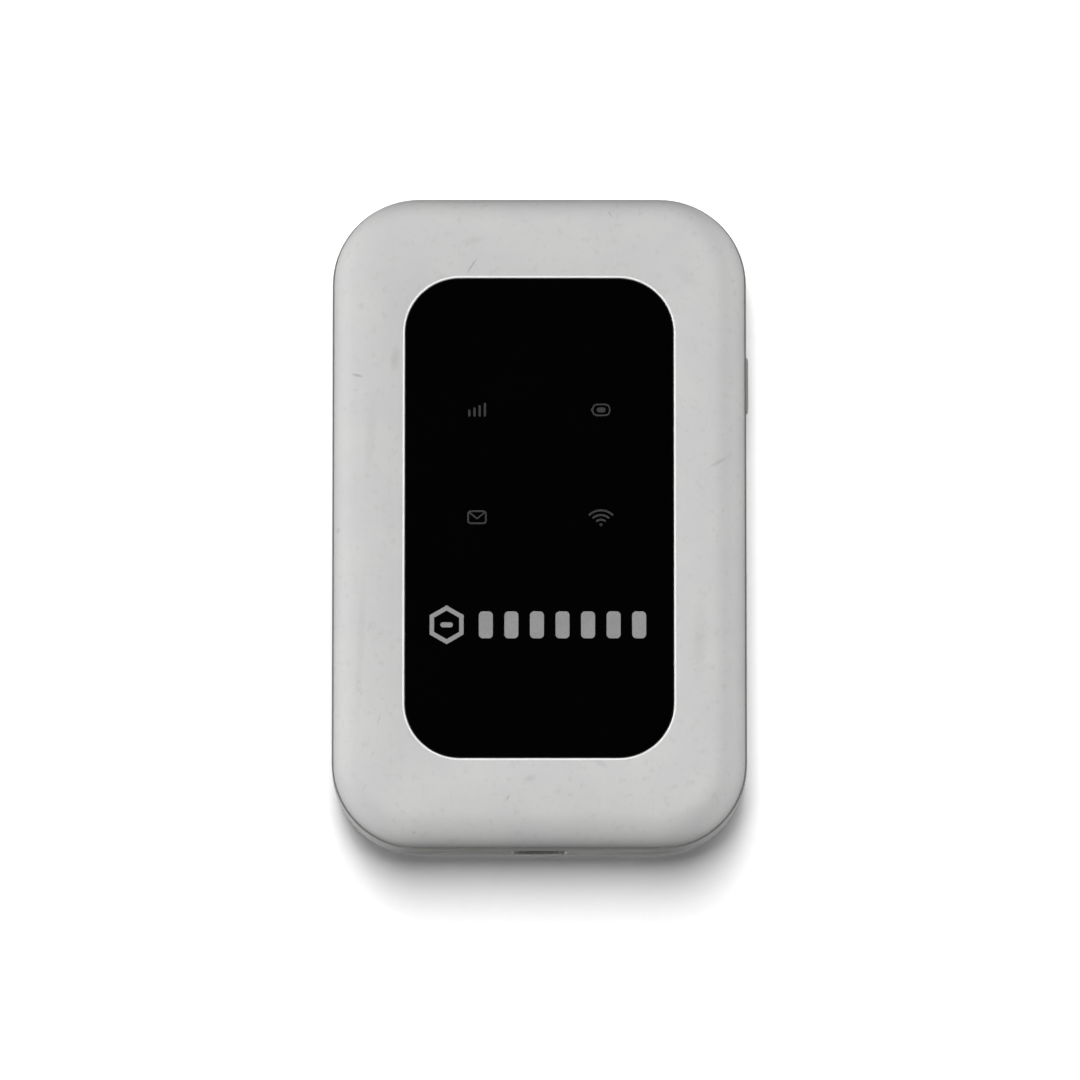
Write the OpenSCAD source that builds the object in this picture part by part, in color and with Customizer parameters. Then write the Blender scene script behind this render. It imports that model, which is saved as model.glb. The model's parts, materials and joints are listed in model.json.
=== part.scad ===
// Pocket 4G hotspot: a white two-shell case with a black front panel and four
// backlit icons, a side power button, a micro-USB socket, a removable battery
// cover, a removable battery and a push-in SIM card.
// Millimetres. +Z is out of the front panel, -Y is the socket end, and +X is
// the side with the power button. The origin is the middle of the back face.

/* [Body] */
// Width of the body across its long sides
body_w = 61; // [58:0.5:76]
// Length of the body from the socket end to the top end
body_l = 97; // [94:0.5:120]
// Thickness of the body from back to front
body_t = 15; // [14.4:0.1:20]
// Plan radius of the body's four corners
corner_r = 12.8; // [11:0.1:16]
// Wall thickness of the front cover and the rear housing
wall = 1.4; // [1.2:0.05:1.7]
// Radius of the front cover's rounded edge
front_round = 5; // [4:0.1:5.4]
// Radius of the battery cover's rounded edge
rear_round = 4; // [3.4:0.1:4.2]
// Height of the seam below the front cover
seam_z = 9.3; // [9.1:0.1:10]
// How far the front cover's edge is set in from the rear housing
front_inset = 0.25; // [0:0.05:0.3]
// Height of the open groove at the front seam
seam_gap = 0.3; // [0.1:0.05:0.5]
// Height of the tongue that locates the front cover
tongue_h = 0.8; // [0.5:0.1:1.2]
// Thickness of the tongue
tongue_t = 0.5; // [0.4:0.05:0.55]

/* [Front panel] */
// Width of the black panel
panel_w = 39.4; // [34:0.1:47.5]
// Length of the black panel
panel_l = 71.3; // [60:0.1:76]
// Plan radius of the panel's corners
panel_r = 8.1; // [4:0.1:10]
// Thickness of the panel
panel_t = 1; // [0.8:0.1:1.2]
// How far the panel lies below the front face
panel_drop = 0.05; // [0:0.05:0.2]
// Gap between the panel and its recess
panel_gap = 0.1; // [0.05:0.05:0.2]
// Width of the bright bevel around the recess
bevel = 0.35; // [0.2:0.05:0.5]
// Thickness of the adhesive under the panel
adhesive_t = 0.15; // [0.1:0.05:0.2]
// Width of the adhesive frame
adhesive_w = 2.5; // [1.5:0.1:3.5]
// Thickness of the recess floor
floor_t = 1.2; // [0.9:0.1:1.4]

/* [Icons and light] */
// Distance between the two icon columns
icon_pitch_x = 18.2; // [17:0.1:20]
// Distance between the two icon rows
icon_pitch_y = 16; // [14:0.1:17]
// Radius of the light window under each icon
window_r = 2.4; // [2:0.1:2.6]
// Side of each baffle tube
tube_side = 7.2; // [6.5:0.1:8]
// Wall of each baffle tube
tube_wall = 0.8; // [0.6:0.1:1]
// Side of the square diffuser film
diffuser_side = 30; // [28:0.5:32]
// Thickness of the diffuser film
diffuser_t = 0.1; // [0.05:0.01:0.12]

/* [Battery] */
// Width of the battery
battery_w = 50; // [40:0.5:50.5]
// Length of the battery, contact end to far end
battery_l = 58; // [48:0.5:58.5]
// Thickness of the battery
battery_t = 5; // [4:0.1:6]
// Plan radius of the battery's corners
battery_r = 1.5; // [1:0.1:3]
// Length of the battery's plastic contact end
header_l = 4; // [3:0.1:6]
// Gap between the battery and the bay walls
battery_gap = 0.3; // [0.2:0.05:0.5]
// Gap between the battery and the battery cover
battery_float = 0.2; // [0.1:0.05:0.4]
// Gap between the battery and the bay floor
bay_head = 0.3; // [0.25:0.05:0.6]
// Thickness of the bay walls
bay_wall = 1; // [0.8:0.1:1.2]
// Thickness of the bay floor
web_t = 0.7; // [0.6:0.1:1]
// Thickness of the shelf over the socket end
shelf_t = 0.65; // [0.6:0.05:0.8]
// Distance between neighbouring battery contacts
contact_pitch = 2.8; // [2.4:0.1:3.2]
// Radius of each battery contact pin
contact_r = 0.5; // [0.4:0.05:0.6]
// Gap between a contact pin's tip and the battery
contact_gap = 0.15; // [0.1:0.05:0.25]

/* [Battery cover] */
// Wall thickness of the battery cover
cover_t = 1.2; // [1:0.1:1.3]
// Gap at the seam above the battery cover
cover_gap = 0.2; // [0.1:0.05:0.3]
// Width of each snap hook
hook_w = 6; // [4:0.5:7]
// Thickness of each snap hook
hook_t = 0.9; // [0.7:0.1:1]
// Height of each snap hook above the cover's edge
hook_h = 1.6; // [1.2:0.1:2]
// Gap between a snap hook and the housing wall
hook_gap = 0.15; // [0.1:0.05:0.25]
// Width of the thumbnail notch
notch_w = 10; // [8:0.5:14]
// Height of the thumbnail notch
notch_h = 0.9; // [0.6:0.1:1.2]

/* [Board] */
// Thickness of the circuit board
board_t = 1; // [0.8:0.1:1.2]
// Gap between the board's edge and the housing wall
board_gap = 0.6; // [0.4:0.1:1]
// Height of the seats that hold the board off the bay floor
seat_h = 0.2; // [0.2:0.05:0.5]
// Height of the shield cans
shield_h = 2; // [1.8:0.1:2.6]
// Sheet thickness of the shield cans
shield_t = 0.2; // [0.15:0.05:0.3]

/* [Screws] */
// Radius of the screw shank
screw_r = 0.8; // [0.7:0.05:0.9]
// Length of the screw under its head
screw_l = 5.5; // [5:0.1:6]
// Radius of the screw head
head_r = 1.5; // [1.3:0.05:1.6]
// Height of the screw head
head_h = 1; // [0.8:0.1:1.1]
// Clearance around the shank in the boss
pilot_gap = 0.05; // [0.03:0.01:0.1]
// Width of the strip that holds the top screws
screw_strip = 4.3; // [4.2:0.1:5]
// Distance of each top screw from the centre line
screw_top_x = 15; // [13:0.1:16]
// Distance of each bottom screw from the centre line
screw_bottom_x = 20.5; // [19:0.1:21]
// Distance of the bottom screws from the socket end
screw_bottom_end = 6.5; // [6:0.1:7]

/* [Socket] */
// Width of the micro-USB shell
usb_w = 7.5; // [7:0.1:8]
// Height of the micro-USB shell
usb_h = 2.55; // [2.3:0.05:2.7]
// Depth of the micro-USB shell
usb_d = 5.5; // [5:0.1:6]
// Sheet thickness of the micro-USB shell
usb_t = 0.25; // [0.2:0.05:0.3]
// Clearance between the shell and the hole in the housing
usb_gap = 0.35; // [0.15:0.05:0.4]
// How far the shell lies behind the housing's outer face
usb_set_back = 0.4; // [0.2:0.1:1]

/* [Power button] */
// Length of the power button along the side
button_l = 8.2; // [6:0.1:10]
// Height of the power button
button_h = 2.5; // [2:0.1:2.8]
// How far the button stands out of the side
button_proud = 0.35; // [0.3:0.05:0.6]
// How far the button can be pressed
button_travel = 0.35; // [0.3:0.05:0.4]
// Distance of the button's middle from the centre of the body
button_y = 21; // [18:0.5:24]
// Gap around the button in its slot
button_gap = 0.15; // [0.1:0.05:0.25]
// How far the retaining flange reaches past the button
flange_reach = 1; // [0.7:0.1:1.2]
// Thickness of the retaining flange
flange_t = 0.7; // [0.5:0.1:0.8]
// Thickness of the arm that reaches up to the switch
arm_t = 1.2; // [1:0.1:1.4]
// Travel of the switch plungers
plunger_travel = 0.25; // [0.2:0.01:0.3]

/* [SIM card] */
// Length of the card along the way it slides
card_l = 15; // [14.9:0.05:15.1]
// Width of the card
card_w = 12; // [11.9:0.05:12.1]
// Thickness of the card
card_t = 0.76; // [0.7:0.01:0.84]
// Gap around the card in its holder
card_gap = 0.1; // [0.05:0.01:0.15]
// How far the card stands out of the holder for a finger
card_proud = 2; // [1.5:0.1:3]
// How far the card slides to leave the holder
card_travel = 13.5; // [13:0.5:14.5]
// Distance of the card's middle from the socket end
card_end = 17.5; // [16.5:0.1:18.5]
// Wall of the card holder
holder_wall = 0.9; // [0.6:0.1:1.2]
// Sheet thickness of the holder's metal cover
holder_sheet = 0.2; // [0.15:0.05:0.25]

/* [Reset switch] */
// Distance of the reset switch from the centre line
reset_x = 19; // [16:0.5:21]
// Radius of the reset pinhole
pinhole_r = 0.8; // [0.6:0.05:1]

/* [Hidden] */
$fn = 64;

// A cut reaches this far past the face that it opens, and a joined shape sinks
// this far into the one that carries it.
over = 1;
sink = 0.1;

// Plan of the shells.
half_w = body_w / 2;
half_l = body_l / 2;
inner_w = body_w - 2 * wall;
inner_l = body_l - 2 * wall;
inner_r = corner_r - wall;
front_w = body_w - 2 * front_inset;
front_l = body_l - 2 * front_inset;
front_r = corner_r - front_inset;

// Heights, from the back to the front.
battery_z = cover_t + battery_float;
web_z = battery_z + battery_t + bay_head;
board_z = web_z + web_t + seat_h;
board_top = board_z + board_t;
panel_z = body_t - panel_drop - panel_t;
recess_z = panel_z - adhesive_t;
floor_z = recess_z - floor_t;
ceiling_z = body_t - wall;
front_z = seam_z + seam_gap;
housing_z = rear_round + cover_gap;

// The recess for the panel.
recess_w = panel_w + 2 * panel_gap;
recess_l = panel_l + 2 * panel_gap;
recess_r = panel_r + panel_gap;
recess_rim = 1.2;

// Battery bay, from the top end towards the socket end.
battery_y1 = half_l - wall - screw_strip - bay_wall - battery_gap;
battery_y0 = battery_y1 - battery_l;
battery_y = (battery_y0 + battery_y1) / 2;
bay_y0 = battery_y0 - battery_gap - bay_wall;
bay_w = battery_w + 2 * battery_gap;
bay_l = battery_l + 2 * battery_gap;
bay_z = cover_t + 0.9;
bay_r = battery_r + battery_gap;

// Icons, light windows and LEDs share these places.
icon_x = icon_pitch_x / 2;
ICONS = [[-icon_x, icon_pitch_y], [icon_x, icon_pitch_y], [-icon_x, 0], [icon_x, 0]];

// Screws: two in the strip past the battery, and two in the bottom corners.
screw_top_y = half_l - wall - screw_strip / 2;
screw_bottom_y = -half_l + screw_bottom_end;
TOP_SCREWS = [for (s = [-1, 1]) [s * screw_top_x, screw_top_y]];
BOTTOM_SCREWS = [for (s = [-1, 1]) [s * screw_bottom_x, screw_bottom_y]];
SCREWS = concat(TOP_SCREWS, BOTTOM_SCREWS);
boss_r = 2;
post_r = head_r + 1.1;
head_gap = 0.25;
shank_gap = 0.15;
board_hole_gap = 0.25;
pilot_run = 0.3;
slot_w = 0.35;
slot_l = 1.7;
slot_depth = 0.5;

// Snap hooks: three on each long side, and two at each end.
hook_nub = 0.1;
hook_pocket = 0.3;
hook_room = 0.3;
hook_root = 1.2;
pocket_z = housing_z + 0.6;
pocket_h = 0.9;
nub_h = 0.5;

cover_foot = wall - cover_t + 0.2;
SIDE_HOOKS = [-half_l + 18.5, 2, half_l - 17.5];
TOP_HOOKS = [-7, 7];
BOTTOM_HOOKS = [-11, 11];

// Lip inside the rear seam, which hangs from the housing behind the gap.
lip_h = 0.6;
lip_t = 0.5;
lip_bite = 0.05;

// Ribs inside the battery cover, and the depth of its thumbnail notch.
rib_count = 3;
rib_pitch = 5.5;
rib_w = 0.8;
rib_h = 1;
notch_depth = 0.8;

// Shields over the radio, the wifi and the baseband, clear of the baffle.
rf_w = 24;
wifi_w = 15;
radio_l = 14;
base_w = 34;
base_l = 24;
shield_y = icon_pitch_y + tube_side / 2 + 1.2;
radio_y = shield_y + radio_l / 2;
rf_x = -8.5;
wifi_x = rf_x + rf_w / 2 + wifi_w / 2 + 1;
base_x = -6;
base_y = -tube_side / 2 - 1.5 - base_l / 2;
processor_at = [base_x - 7, base_y];
processor_size = [12, 12, 1.2];
inductor_size = [4, 4, 2];
inductor_pitch = 7;
inductor_x = base_x + base_w / 2 + inductor_size[0];
capacitor_size = [1, 0.6, 0.5];
capacitor_pitch = 2.7;
led_size = [3.2, 2.8, 1.2];
led_cup_r = 1.1;
led_cup_depth = 0.7;

// Power button, its switch and the notch that its arm moves in.
button_z = (rear_round + seam_z) / 2;
flange_x = half_w - wall - 0.1;
arm_x = flange_x - flange_t - arm_t;
free_play = button_travel - plunger_travel;
plunger_tip_x = arm_x - free_play;
switch_front_x = plunger_tip_x - plunger_travel - 0.45;
switch_d = 3;
switch_w = 4.6;
switch_h = 1.6;
plunger_w = 1.6;
plunger_h = 1;
plunger_gap = 0.05;
plunger_z = board_top + switch_h / 2;
arm_w = 5;
notch_x = arm_x - button_travel - 0.2;
notch_l = button_l + 2 * flange_reach + 2;

// Socket.
usb_z = board_z - usb_h / 2;
usb_front_y = -half_l + usb_set_back;
usb_taper = 0.7;

// SIM holder, on the back of the board.
card_y = -half_l + card_end;
holder_x = -inner_w / 2 + 3;
holder_h = 1.5;
holder_l = card_l - card_proud + holder_wall;
holder_w = card_w + 2 * card_gap + 2 * holder_wall;
holder_z = board_z - holder_h;
card_x = holder_x + holder_wall;
card_z = holder_z + holder_sheet + card_gap;
card_window_x = card_x + card_l + card_travel + 1.5;
CARD_CONTACTS = [for (i = [0, 1], j = [-1:1])
    [card_x + 4 + 7.6 * i, card_y + 2.54 * j]];

// Battery connector and its sprung pins.
connector_w = 11;
connector_d = 4;
connector_y = battery_y0 - battery_gap - 0.2;
connector_z = battery_z + 2;
contact_z = battery_z + 3.3;
contact_l = 3;

// Reset switch.
reset_y = card_y;
reset_h = 1.4;
reset_tip = 0.4;

// Antennas and the strips of ceiling that they are bonded to.
antenna_l = 28;
antenna_t = 0.15;
antenna_gap = 0.5;
antenna_slots = 5;
antenna_slot_w = 0.8;
sheet_t = 0.25;
wifi_antenna_w = 3.6;
wifi_antenna_h = 2.6;
strip_y0 = recess_l / 2 + recess_rim + antenna_gap;
strip_y1 = front_l / 2 - front_round - antenna_gap / 2;
antenna_w = strip_y1 - strip_y0;
antenna_y = (strip_y0 + strip_y1) / 2;
spring_x = 6;
spring_inset = 2.775;
spring_y = strip_y1 - spring_inset;
spring_t = 0.2;
spring_w = 1.4;
spring_l = 2.4;

// Colours.
white_abs = [0.83, 0.83, 0.82];
black_gloss = [0.02, 0.02, 0.022];
tin = [0.72, 0.72, 0.7];
gold = [0.85, 0.65, 0.3];
chip_black = [0.08, 0.08, 0.085];

// ---------------------------------------------------------------- helpers

// A quarter disc in the first quadrant.
module quarter(r) {
    intersection() {
        circle(r = r);
        square(r + over);
    }
}

// A rectangle with true round corners, centred.
module rounded_rect(w, l, r) {
    square([w - 2 * r, l], center = true);
    for (s = [-1, 1])
        translate([s * (w - r) / 2, 0])
            square([r, l - 2 * r], center = true);
    for (i = [0:3]) {
        sx = (i == 0 || i == 3) ? 1 : -1;
        sy = i < 2 ? 1 : -1;
        translate([sx * (w / 2 - r), sy * (l / 2 - r)])
            rotate(90 * i)
                quarter(r);
    }
}

// A rounded plate standing on z.
module slab(w, l, r, z, h) {
    translate([0, 0, z])
        linear_extrude(h)
            rounded_rect(w, l, r);
}

// A ring between two rounded rectangles, inset from the body's plan.
module wall_ring(out, in, z, h) {
    difference() {
        slab(body_w - 2 * out, body_l - 2 * out, corner_r - out, z, h);
        slab(body_w - 2 * in, body_l - 2 * in, corner_r - in, z - over, h + 2 * over);
    }
}

// Section of a rounded edge: plan radius r, height h, and a top rounding f.
module edge_section(r, h, f) {
    if (h > f)
        square([r, h - f]);
    translate([0, h - f])
        square([r - f, f]);
    translate([r - f, h - f])
        quarter(f);
}

// A plate with round plan corners and one rounded edge, standing on z = 0.
module pillow(w, l, r, h, f) {
    cube_w = w - 2 * r;
    cube_l = l - 2 * r;
    translate([-cube_w / 2, -cube_l / 2, 0])
        cube([cube_w, cube_l, h]);
    for (i = [0:3]) {
        sx = (i == 0 || i == 3) ? 1 : -1;
        sy = i < 2 ? 1 : -1;
        translate([sx * cube_w / 2, sy * cube_l / 2, 0])
            rotate([0, 0, 90 * i])
                rotate_extrude(angle = 90)
                    edge_section(r, h, f);
    }
    for (a = [0, 180]) {
        rotate([0, 0, a])
            translate([cube_w / 2, cube_l / 2, 0])
                rotate([90, 0, 0])
                    linear_extrude(cube_l)
                        edge_section(r, h, f);
        rotate([0, 0, a + 90])
            translate([cube_l / 2, cube_w / 2, 0])
                rotate([90, 0, 0])
                    linear_extrude(cube_w)
                        edge_section(r, h, f);
    }
}

// A plain block given by its lowest corner and its size.
module block(corner, size) {
    translate(corner)
        cube(size);
}

// A block centred on x and y, standing on z.
module pad(x, y, z, w, l, h) {
    translate([x - w / 2, y - l / 2, z])
        cube([w, l, h]);
}

// An upright round bar.
module rod(x, y, z, r, h) {
    translate([x, y, z])
        cylinder(r = r, h = h);
}

// A box shield, open towards the board.
module shield(x, y, w, l) {
    difference() {
        pad(x, y, board_top, w, l, shield_h);
        pad(x, y, board_top - over, w - 2 * shield_t, l - 2 * shield_t,
            shield_h - shield_t + over);
    }
}

// ------------------------------------------------------------------ shells

module front_cover() {
    color(white_abs) {
        difference() {
            translate([0, 0, front_z])
                pillow(front_w, front_l, front_r, body_t - front_z, front_round);
            front_cavity();
            // Rebate that takes the housing's tongue.
            slab(inner_w + 2 * (tongue_t + 0.1), inner_l + 2 * (tongue_t + 0.1),
                inner_r + tongue_t + 0.1, front_z - over,
                seam_z + tongue_h + 0.1 - front_z + over);
            panel_recess();
            light_windows();
        }
        screw_bosses();
    }
}

// Hollow bosses that stand on the board, trimmed to stay inside the cover's
// rounded edge.
module screw_bosses() {
    difference() {
        intersection() {
            for (p = SCREWS)
                rod(p[0], p[1], board_top, boss_r, body_t - board_top);
            translate([0, 0, front_z - over])
                pillow(front_w - wall, front_l - wall, front_r - wall / 2,
                    body_t - wall / 2 - front_z + over, front_round - wall / 2);
        }
        for (p = SCREWS)
            rod(p[0], p[1], board_top - over, screw_r + pilot_gap,
                web_z + screw_l + pilot_run - board_top + over);
    }
}

// Inside of the front cover, with the panel's floor left standing.
module front_cavity() {
    difference() {
        translate([0, 0, front_z - over])
            pillow(front_w - 2 * wall, front_l - 2 * wall, front_r - wall,
                ceiling_z - front_z + over, front_round - wall);
        slab(recess_w + 2 * recess_rim, recess_l + 2 * recess_rim,
            recess_r + recess_rim, floor_z, body_t - floor_z);
    }
}

// Recess for the panel, with a bevel round its mouth.
module panel_recess() {
    slab(recess_w, recess_l, recess_r, recess_z, body_t - recess_z + over);
    // The bevel is a 45 degree cone at each corner and a wedge along each side.
    cw = recess_w / 2 - recess_r;
    cl = recess_l / 2 - recess_r;
    for (sx = [-1, 1], sy = [-1, 1])
        translate([sx * cw, sy * cl, body_t - bevel])
            cylinder(r1 = recess_r, r2 = recess_r + bevel, h = bevel);
    for (a = [0, 180]) {
        rotate([0, 0, a])
            bevel_wedge(recess_w / 2, 2 * cl);
        rotate([0, 0, a + 90])
            bevel_wedge(recess_l / 2, 2 * cw);
    }
}

module bevel_wedge(x, l) {
    translate([x, l / 2, body_t])
        rotate([90, 0, 0])
            linear_extrude(l)
                polygon([[-0.1, 0.1], [-0.1, -bevel], [0, -bevel], [bevel, 0],
                    [bevel, 0.1]]);
}

module light_windows() {
    for (p = ICONS)
        rod(p[0], p[1], floor_z - over, window_r, floor_t + 2 * over);
}

module lens_panel() {
    color(black_gloss)
        slab(panel_w, panel_l, panel_r, panel_z, panel_t);
}

module lens_adhesive() {
    color([0.15, 0.15, 0.15])
        difference() {
            slab(panel_w, panel_l, panel_r, recess_z, adhesive_t);
            slab(panel_w - 2 * adhesive_w, panel_l - 2 * adhesive_w,
                panel_r - adhesive_w, recess_z - over, adhesive_t + 2 * over);
        }
}

module diffuser_film() {
    color([0.95, 0.95, 0.95])
        slab(diffuser_side, diffuser_side, 2, recess_z, diffuser_t);
}

// The middle of the case: a wall all round, the battery bay, and a shelf that
// covers the socket end.
module rear_housing() {
    color(white_abs)
        difference() {
            union() {
                wall_ring(0, wall, housing_z, seam_z - housing_z);
                wall_ring(wall - tongue_t, wall, seam_z - over, tongue_h + over);
                wall_ring(wall - lip_bite, wall + lip_t, housing_z - lip_h,
                    lip_h + pocket_z - housing_z);
                housing_floors();
                bay_ring();
                for (p = TOP_SCREWS)
                    rod(p[0], p[1], web_z, boss_r, board_z - web_z);
                for (p = BOTTOM_SCREWS)
                    rod(p[0], p[1], housing_z, post_r, board_z - housing_z);
            }
            housing_holes();
        }
}

// Floor of the bay, and the lower shelf, each as wide as the case inside.
module housing_floors() {
    intersection() {
        slab(inner_w + 0.2, inner_l + 0.2, inner_r + 0.1, web_z, web_t);
        block([-half_w, bay_y0, web_z - over], [body_w, body_l, web_t + 2 * over]);
    }
    intersection() {
        slab(inner_w + 0.2, inner_l + 0.2, inner_r + 0.1, housing_z, shelf_t);
        block([-half_w, -half_l, housing_z - over],
            [body_w, half_l + bay_y0 + bay_wall, shelf_t + 2 * over]);
    }
}

// Upstanding wall round the battery.
module bay_ring() {
    translate([0, battery_y, 0])
        difference() {
            slab(bay_w + 2 * bay_wall, bay_l + 2 * bay_wall, bay_r + bay_wall,
                bay_z, web_z + web_t - bay_z);
            slab(bay_w, bay_l, bay_r, bay_z - over, web_z - bay_z + over);
        }
}

module housing_holes() {
    for (p = SCREWS)
        rod(p[0], p[1], web_z - over, screw_r + shank_gap, board_z - web_z + 2 * over);
    for (p = BOTTOM_SCREWS)
        rod(p[0], p[1], housing_z - over, head_r + head_gap, web_z - housing_z + over);
    socket_hole();
    button_slot();
    // Notch in the bay floor for the button's arm.
    block([notch_x, button_y - notch_l / 2, web_z - over],
        [inner_w / 2 - notch_x, notch_l, web_t + 2 * over]);
    // Window over the SIM card, and the slot for the battery connector.
    block([holder_x - 0.3, card_y - holder_w / 2 - 0.3, housing_z - over],
        [card_window_x - holder_x, holder_w + 0.6, shelf_t + 2 * over]);
    block([-connector_w / 2 - 0.3, connector_y - connector_d - 0.3, bay_z - over],
        [connector_w + 0.6, connector_d + bay_wall + 1.2, web_z - bay_z + over]);
    block([-connector_w / 2 - 0.3, connector_y - connector_d - 0.3, web_z - over],
        [connector_w + 0.6, connector_d + 0.6, web_t + 2 * over]);
    rod(reset_x, reset_y, housing_z - over, pinhole_r, shelf_t + 2 * over);
    // Break in the lip, for the power button's flange.
    pad(inner_w / 2, button_y, housing_z - lip_h - over, 2 * (lip_t + over), notch_l,
        lip_h + over);
    pad(inner_w / 2 - lip_t / 2 - over / 2, button_y, housing_z - over, lip_t + over,
        notch_l, pocket_z - housing_z + 2 * over);
    hook_clearances();
}

// Round-ended slot in the end wall for the socket.
module socket_hole() {
    w = usb_w + 2 * usb_gap;
    h = usb_h + 2 * usb_gap;
    translate([0, -half_l - over, usb_z])
        rotate([-90, 0, 0])
            linear_extrude(wall + 2 * over)
                rounded_rect(w, h, 0.8);
}

// Slot in the side wall for the power button.
module button_slot() {
    translate([inner_w / 2 - over, button_y, button_z])
        rotate([90, 0, 90])
            linear_extrude(wall + 2 * over)
                rounded_rect(button_l + 2 * button_gap, button_h + 2 * button_gap, 1);
}

// Room in the shelf and bay floor for each snap hook, with a pocket for its nub.
module hook_clearances() {
    at_hooks()
        hook_clearance();
}

// Room for the hook that stands at reach on the +X side.
module hook_clearance() {
    top = rear_round + hook_h + hook_room;
    length = hook_w + 2 * hook_room;
    pad(-hook_gap - hook_t / 2, 0, housing_z - over, hook_t + 2 * hook_gap, length,
        top - housing_z + over);
    pad(0, 0, pocket_z, 2 * hook_pocket, length, pocket_h);
    // Break in the lip, so that no sliver is left beside the hook.
    pad(0, 0, housing_z - lip_h - over, 2 * (lip_t + over), length, lip_h + over);
}

// Puts its children at every hook, with x = 0 on the housing's inner wall and
// +X pointing outwards.
module at_hooks() {
    for (a = [0, 180], y = SIDE_HOOKS)
        rotate([0, 0, a])
            translate([inner_w / 2, a == 0 ? y : -y, 0])
                children();
    for (x = TOP_HOOKS)
        translate([x, inner_l / 2, 0])
            rotate([0, 0, 90])
                children();
    for (x = BOTTOM_HOOKS)
        translate([x, -inner_l / 2, 0])
            rotate([0, 0, -90])
                children();
}

// One snap hook, on a foot that joins it to the cover's wall.
module snap_hook() {
    root_z = rear_round - hook_root;
    foot = hook_gap + cover_foot;
    block([-hook_gap - hook_t, -hook_w / 2, root_z],
        [hook_t, hook_w, hook_root + hook_h]);
    block([-hook_gap - hook_t, -hook_w / 2, pocket_z + (pocket_h - nub_h) / 2],
        [hook_t + hook_nub, hook_w, nub_h]);
    block([-hook_gap - hook_t, -hook_w / 2, root_z],
        [hook_t + foot, hook_w, hook_root - cover_gap]);
}

module battery_cover() {
    color(white_abs)
        difference() {
            union() {
                difference() {
                    flip(rear_round)
                        pillow(body_w, body_l, corner_r, rear_round, rear_round);
                    translate([0, 0, cover_t])
                        flip(rear_round)
                            pillow(body_w - 2 * cover_t, body_l - 2 * cover_t,
                                corner_r - cover_t, rear_round,
                                rear_round - cover_t);
                }
                at_hooks()
                    snap_hook();
                stiffening_ribs();
            }
            // Thumbnail notch, low on the left side.
            block([-half_w - over, -half_l + corner_r + 3, rear_round - notch_h],
                [over + notch_depth, notch_w, notch_h + over]);
        }
}

// Turns a solid of height h that stands on z = 0 upside down in its place.
module flip(h) {
    translate([0, 0, h])
        mirror([0, 0, 1])
            children();
}

// Low ribs that stiffen the cover where no battery lies over it.
module stiffening_ribs() {
    for (i = [0:rib_count - 1])
        pad(0, -half_l + corner_r + i * rib_pitch, cover_t - sink,
            body_w - 2 * corner_r, rib_w, rib_h + sink);
}

// ------------------------------------------------------------------- board

module main_board() {
    color([0.05, 0.25, 0.14])
        difference() {
            slab(inner_w - 2 * board_gap, inner_l - 2 * board_gap,
                inner_r - board_gap, board_z, board_t);
            for (p = SCREWS)
                rod(p[0], p[1], board_z - over, screw_r + board_hole_gap,
                    board_t + 2 * over);
            block([notch_x, button_y - notch_l / 2, board_z - over],
                [half_w, notch_l, board_t + 2 * over]);
        }
}

// Four black tubes, one round each LED, held together by thin webs.
module light_baffle() {
    h = floor_z - board_top;
    mid_y = icon_pitch_y / 2;
    color(chip_black)
        difference() {
            union() {
                for (p = ICONS)
                    pad(p[0], p[1], board_top, tube_side, tube_side, h);
                for (y = [0, icon_pitch_y])
                    pad(0, y, board_top, icon_pitch_x, tube_wall, h);
                for (s = [-1, 1])
                    pad(s * icon_x, mid_y, board_top, tube_wall, icon_pitch_y, h);
            }
            for (p = ICONS)
                pad(p[0], p[1], board_top - over, tube_side - 2 * tube_wall,
                    tube_side - 2 * tube_wall, h + 2 * over);
        }
}

// A surface-mount LED with a round reflector cup.
module led(place) {
    color([0.95, 0.93, 0.8])
        difference() {
            chip(place, led_size);
            rod(place[0], place[1], board_top + led_size[2] - led_cup_depth,
                led_cup_r, led_cup_depth + over);
        }
}

module led_signal() led(ICONS[0]);
module led_battery() led(ICONS[1]);
module led_message() led(ICONS[2]);
module led_wifi() led(ICONS[3]);

module rf_shield() {
    color(tin) shield(rf_x, radio_y, rf_w, radio_l);
}

module wifi_shield() {
    color(tin) shield(wifi_x, radio_y, wifi_w, radio_l);
}

module baseband_shield() {
    color(tin) shield(base_x, base_y, base_w, base_l);
}

// A chip is a low block on the board, placed by [x, y] and sized by [w, l, h].
module chip(place, size) {
    pad(place[0], place[1], board_top, size[0], size[1], size[2]);
}

module processor() color(chip_black) chip(processor_at, processor_size);
module memory_chip() color(chip_black) chip([base_x + 7, base_y + 3.5], [11, 9, 1]);
module power_chip() color(chip_black) chip([base_x + 7, base_y - 6.5], [7, 7, 0.9]);
module rf_transceiver() color(chip_black) chip([rf_x - 5, radio_y], [7, 7, 0.9]);
module rf_amplifier() color(chip_black) chip([rf_x + 5.5, radio_y], [5, 4, 0.9]);
module wifi_chip() color(chip_black) chip([wifi_x, radio_y], [6, 6, 0.9]);
module crystal() color(tin) chip([wifi_x + 6, shield_y - 4], [3.2, 2.5, 0.8]);

// Soft pad that carries the processor's heat to its shield.
module thermal_pad() {
    z = board_top + processor_size[2];
    color([0.55, 0.6, 0.68])
        pad(processor_at[0], processor_at[1], z, processor_size[0] - 2,
            processor_size[1] - 2, board_top + shield_h - shield_t - z);
}

// Three wound inductors with a shallow round dish in the top.
module power_inductors() {
    dish = 0.2;
    color([0.25, 0.25, 0.26])
        for (i = [-1:1])
            difference() {
                chip([inductor_x, base_y + i * inductor_pitch], inductor_size);
                rod(inductor_x, base_y + i * inductor_pitch,
                    board_top + inductor_size[2] - dish, inductor_size[0] / 2 - 0.6,
                    over);
            }
}

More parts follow.
